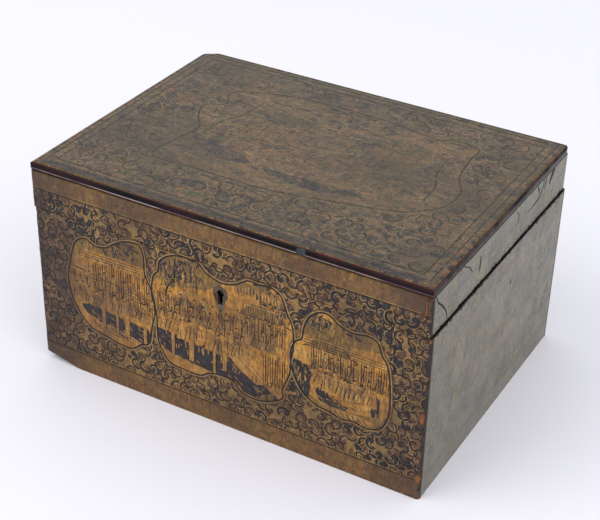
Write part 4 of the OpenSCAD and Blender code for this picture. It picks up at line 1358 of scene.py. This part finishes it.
def key_plate():
    """The drop-shaped plate, its rim under the gilding, with the keyhole through it."""
    count = 96
    hole_r, slot_half = 3.1, 2.2
    slot_low = key_z - 10.2
    back, rim_level, face, bevel = 1.2, -0.05, -0.12, -0.25
    loops = []
    for grow, depth in ((0.0, back), (0.0, rim_level), (bevel, face), (None, face), (None, back)):
        loop = []
        for i in range(count):
            a = math.tau * i / count
            if grow is not None:
                r = drop_radius(a) + grow
            else:
                r = hole_r
                if math.sin(a) < 0:
                    to_side = slot_half / max(abs(math.cos(a)), 1e-6)
                    to_foot = (key_z - slot_low) / -math.sin(a)
                    r = max(hole_r, min(to_side, to_foot))
            loop.append((math.cos(a) * r * MM, front_y + depth * MM, (key_z + math.sin(a) * r) * MM))
        loops.append(loop)
    verts = [v for loop in loops for v in loop]
    faces = []
    for k in range(len(loops)):
        nxt = (k + 1) % len(loops)
        for i in range(count):
            j = (i + 1) % count
            faces.append((k * count + i, k * count + j, nxt * count + j, nxt * count + i))
    mesh = bpy.data.meshes.new("keyhole_plate")
    mesh.from_pydata(verts, [], faces)
    mesh.materials.append(grey_metal)
    mesh.update()
    piece = linked("keyhole_plate", mesh)
    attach(piece, "body")
    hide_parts("key_escutcheon")


key_plate()

# Floor, world and lamps
bpy.ops.mesh.primitive_plane_add(size=12)
floor = bpy.context.object
floor.name = "floor"
ground = Shade("floor")
haze = ground.between(ground.noise(300, 2), 0.3, 0.7)
lit = ground.mix(haze, (0.85, 0.84, 0.91, 1), (0.87, 0.86, 0.93, 1))
direct = ground.node("ShaderNodeLightPath").outputs["Is Camera Ray"]
paper = ground.mix(direct, lit, (0.94, 0.93, 1.0, 1))
floor.data.materials.append(ground.done(paper, 0.9, Specular_IOR_Level=0.1))

# The camera and mirrored rays see a white room that darkens upwards. All else is lit evenly
world = bpy.data.worlds.new("studio")
bpy.context.scene.world = world
world.use_nodes = True
sky = Nodes(world.node_tree)
ray = sky.node("ShaderNodeLightPath").outputs
seen = sky.most(ray["Is Camera Ray"], ray["Is Glossy Ray"], ray["Is Transmission Ray"])
place = sky.node("ShaderNodeTexCoord").outputs["Generated"]
up = sky.node("ShaderNodeSeparateXYZ", {0: place}).outputs["Z"]
height = sky.node("ShaderNodeMapRange", {0: up, 1: 0.12, 2: 0.75}).outputs[0]
drawn = sky.mix(height, (0.97, 0.97, 0.98, 1), (0.2, 0.2, 0.22, 1))
shown = sky.node("ShaderNodeBackground", {0: drawn}).outputs[0]
lighting = sky.node("ShaderNodeBackground", {0: (0.97, 0.98, 1.0, 1), 1: 0.86}).outputs[0]
chosen = sky.node("ShaderNodeMixShader", {0: seen, 1: lighting, 2: shown}).outputs[0]
sky.node("ShaderNodeOutputWorld", {0: chosen})


def lamp(name, place, size, watts, colour):
    """A square lamp that points at the box."""
    light = bpy.data.lights.new(name, "AREA")
    light.size = size
    light.energy = watts
    light.color = colour
    made = linked(name, light)
    made.location = place
    made.rotation_mode = "QUATERNION"
    made.rotation_quaternion = (Vector((0, 0, 0.1)) - Vector(place)).to_track_quat("-Z", "Y")


lamp("key", (-1.2, -1.6, 2.2), 1.8, 22, (1.0, 0.99, 0.97))
lamp("fill", (1.8, -0.8, 1.6), 1.8, 11, (0.97, 0.98, 1.0))

bpy.context.scene.view_settings.view_transform = "Standard"
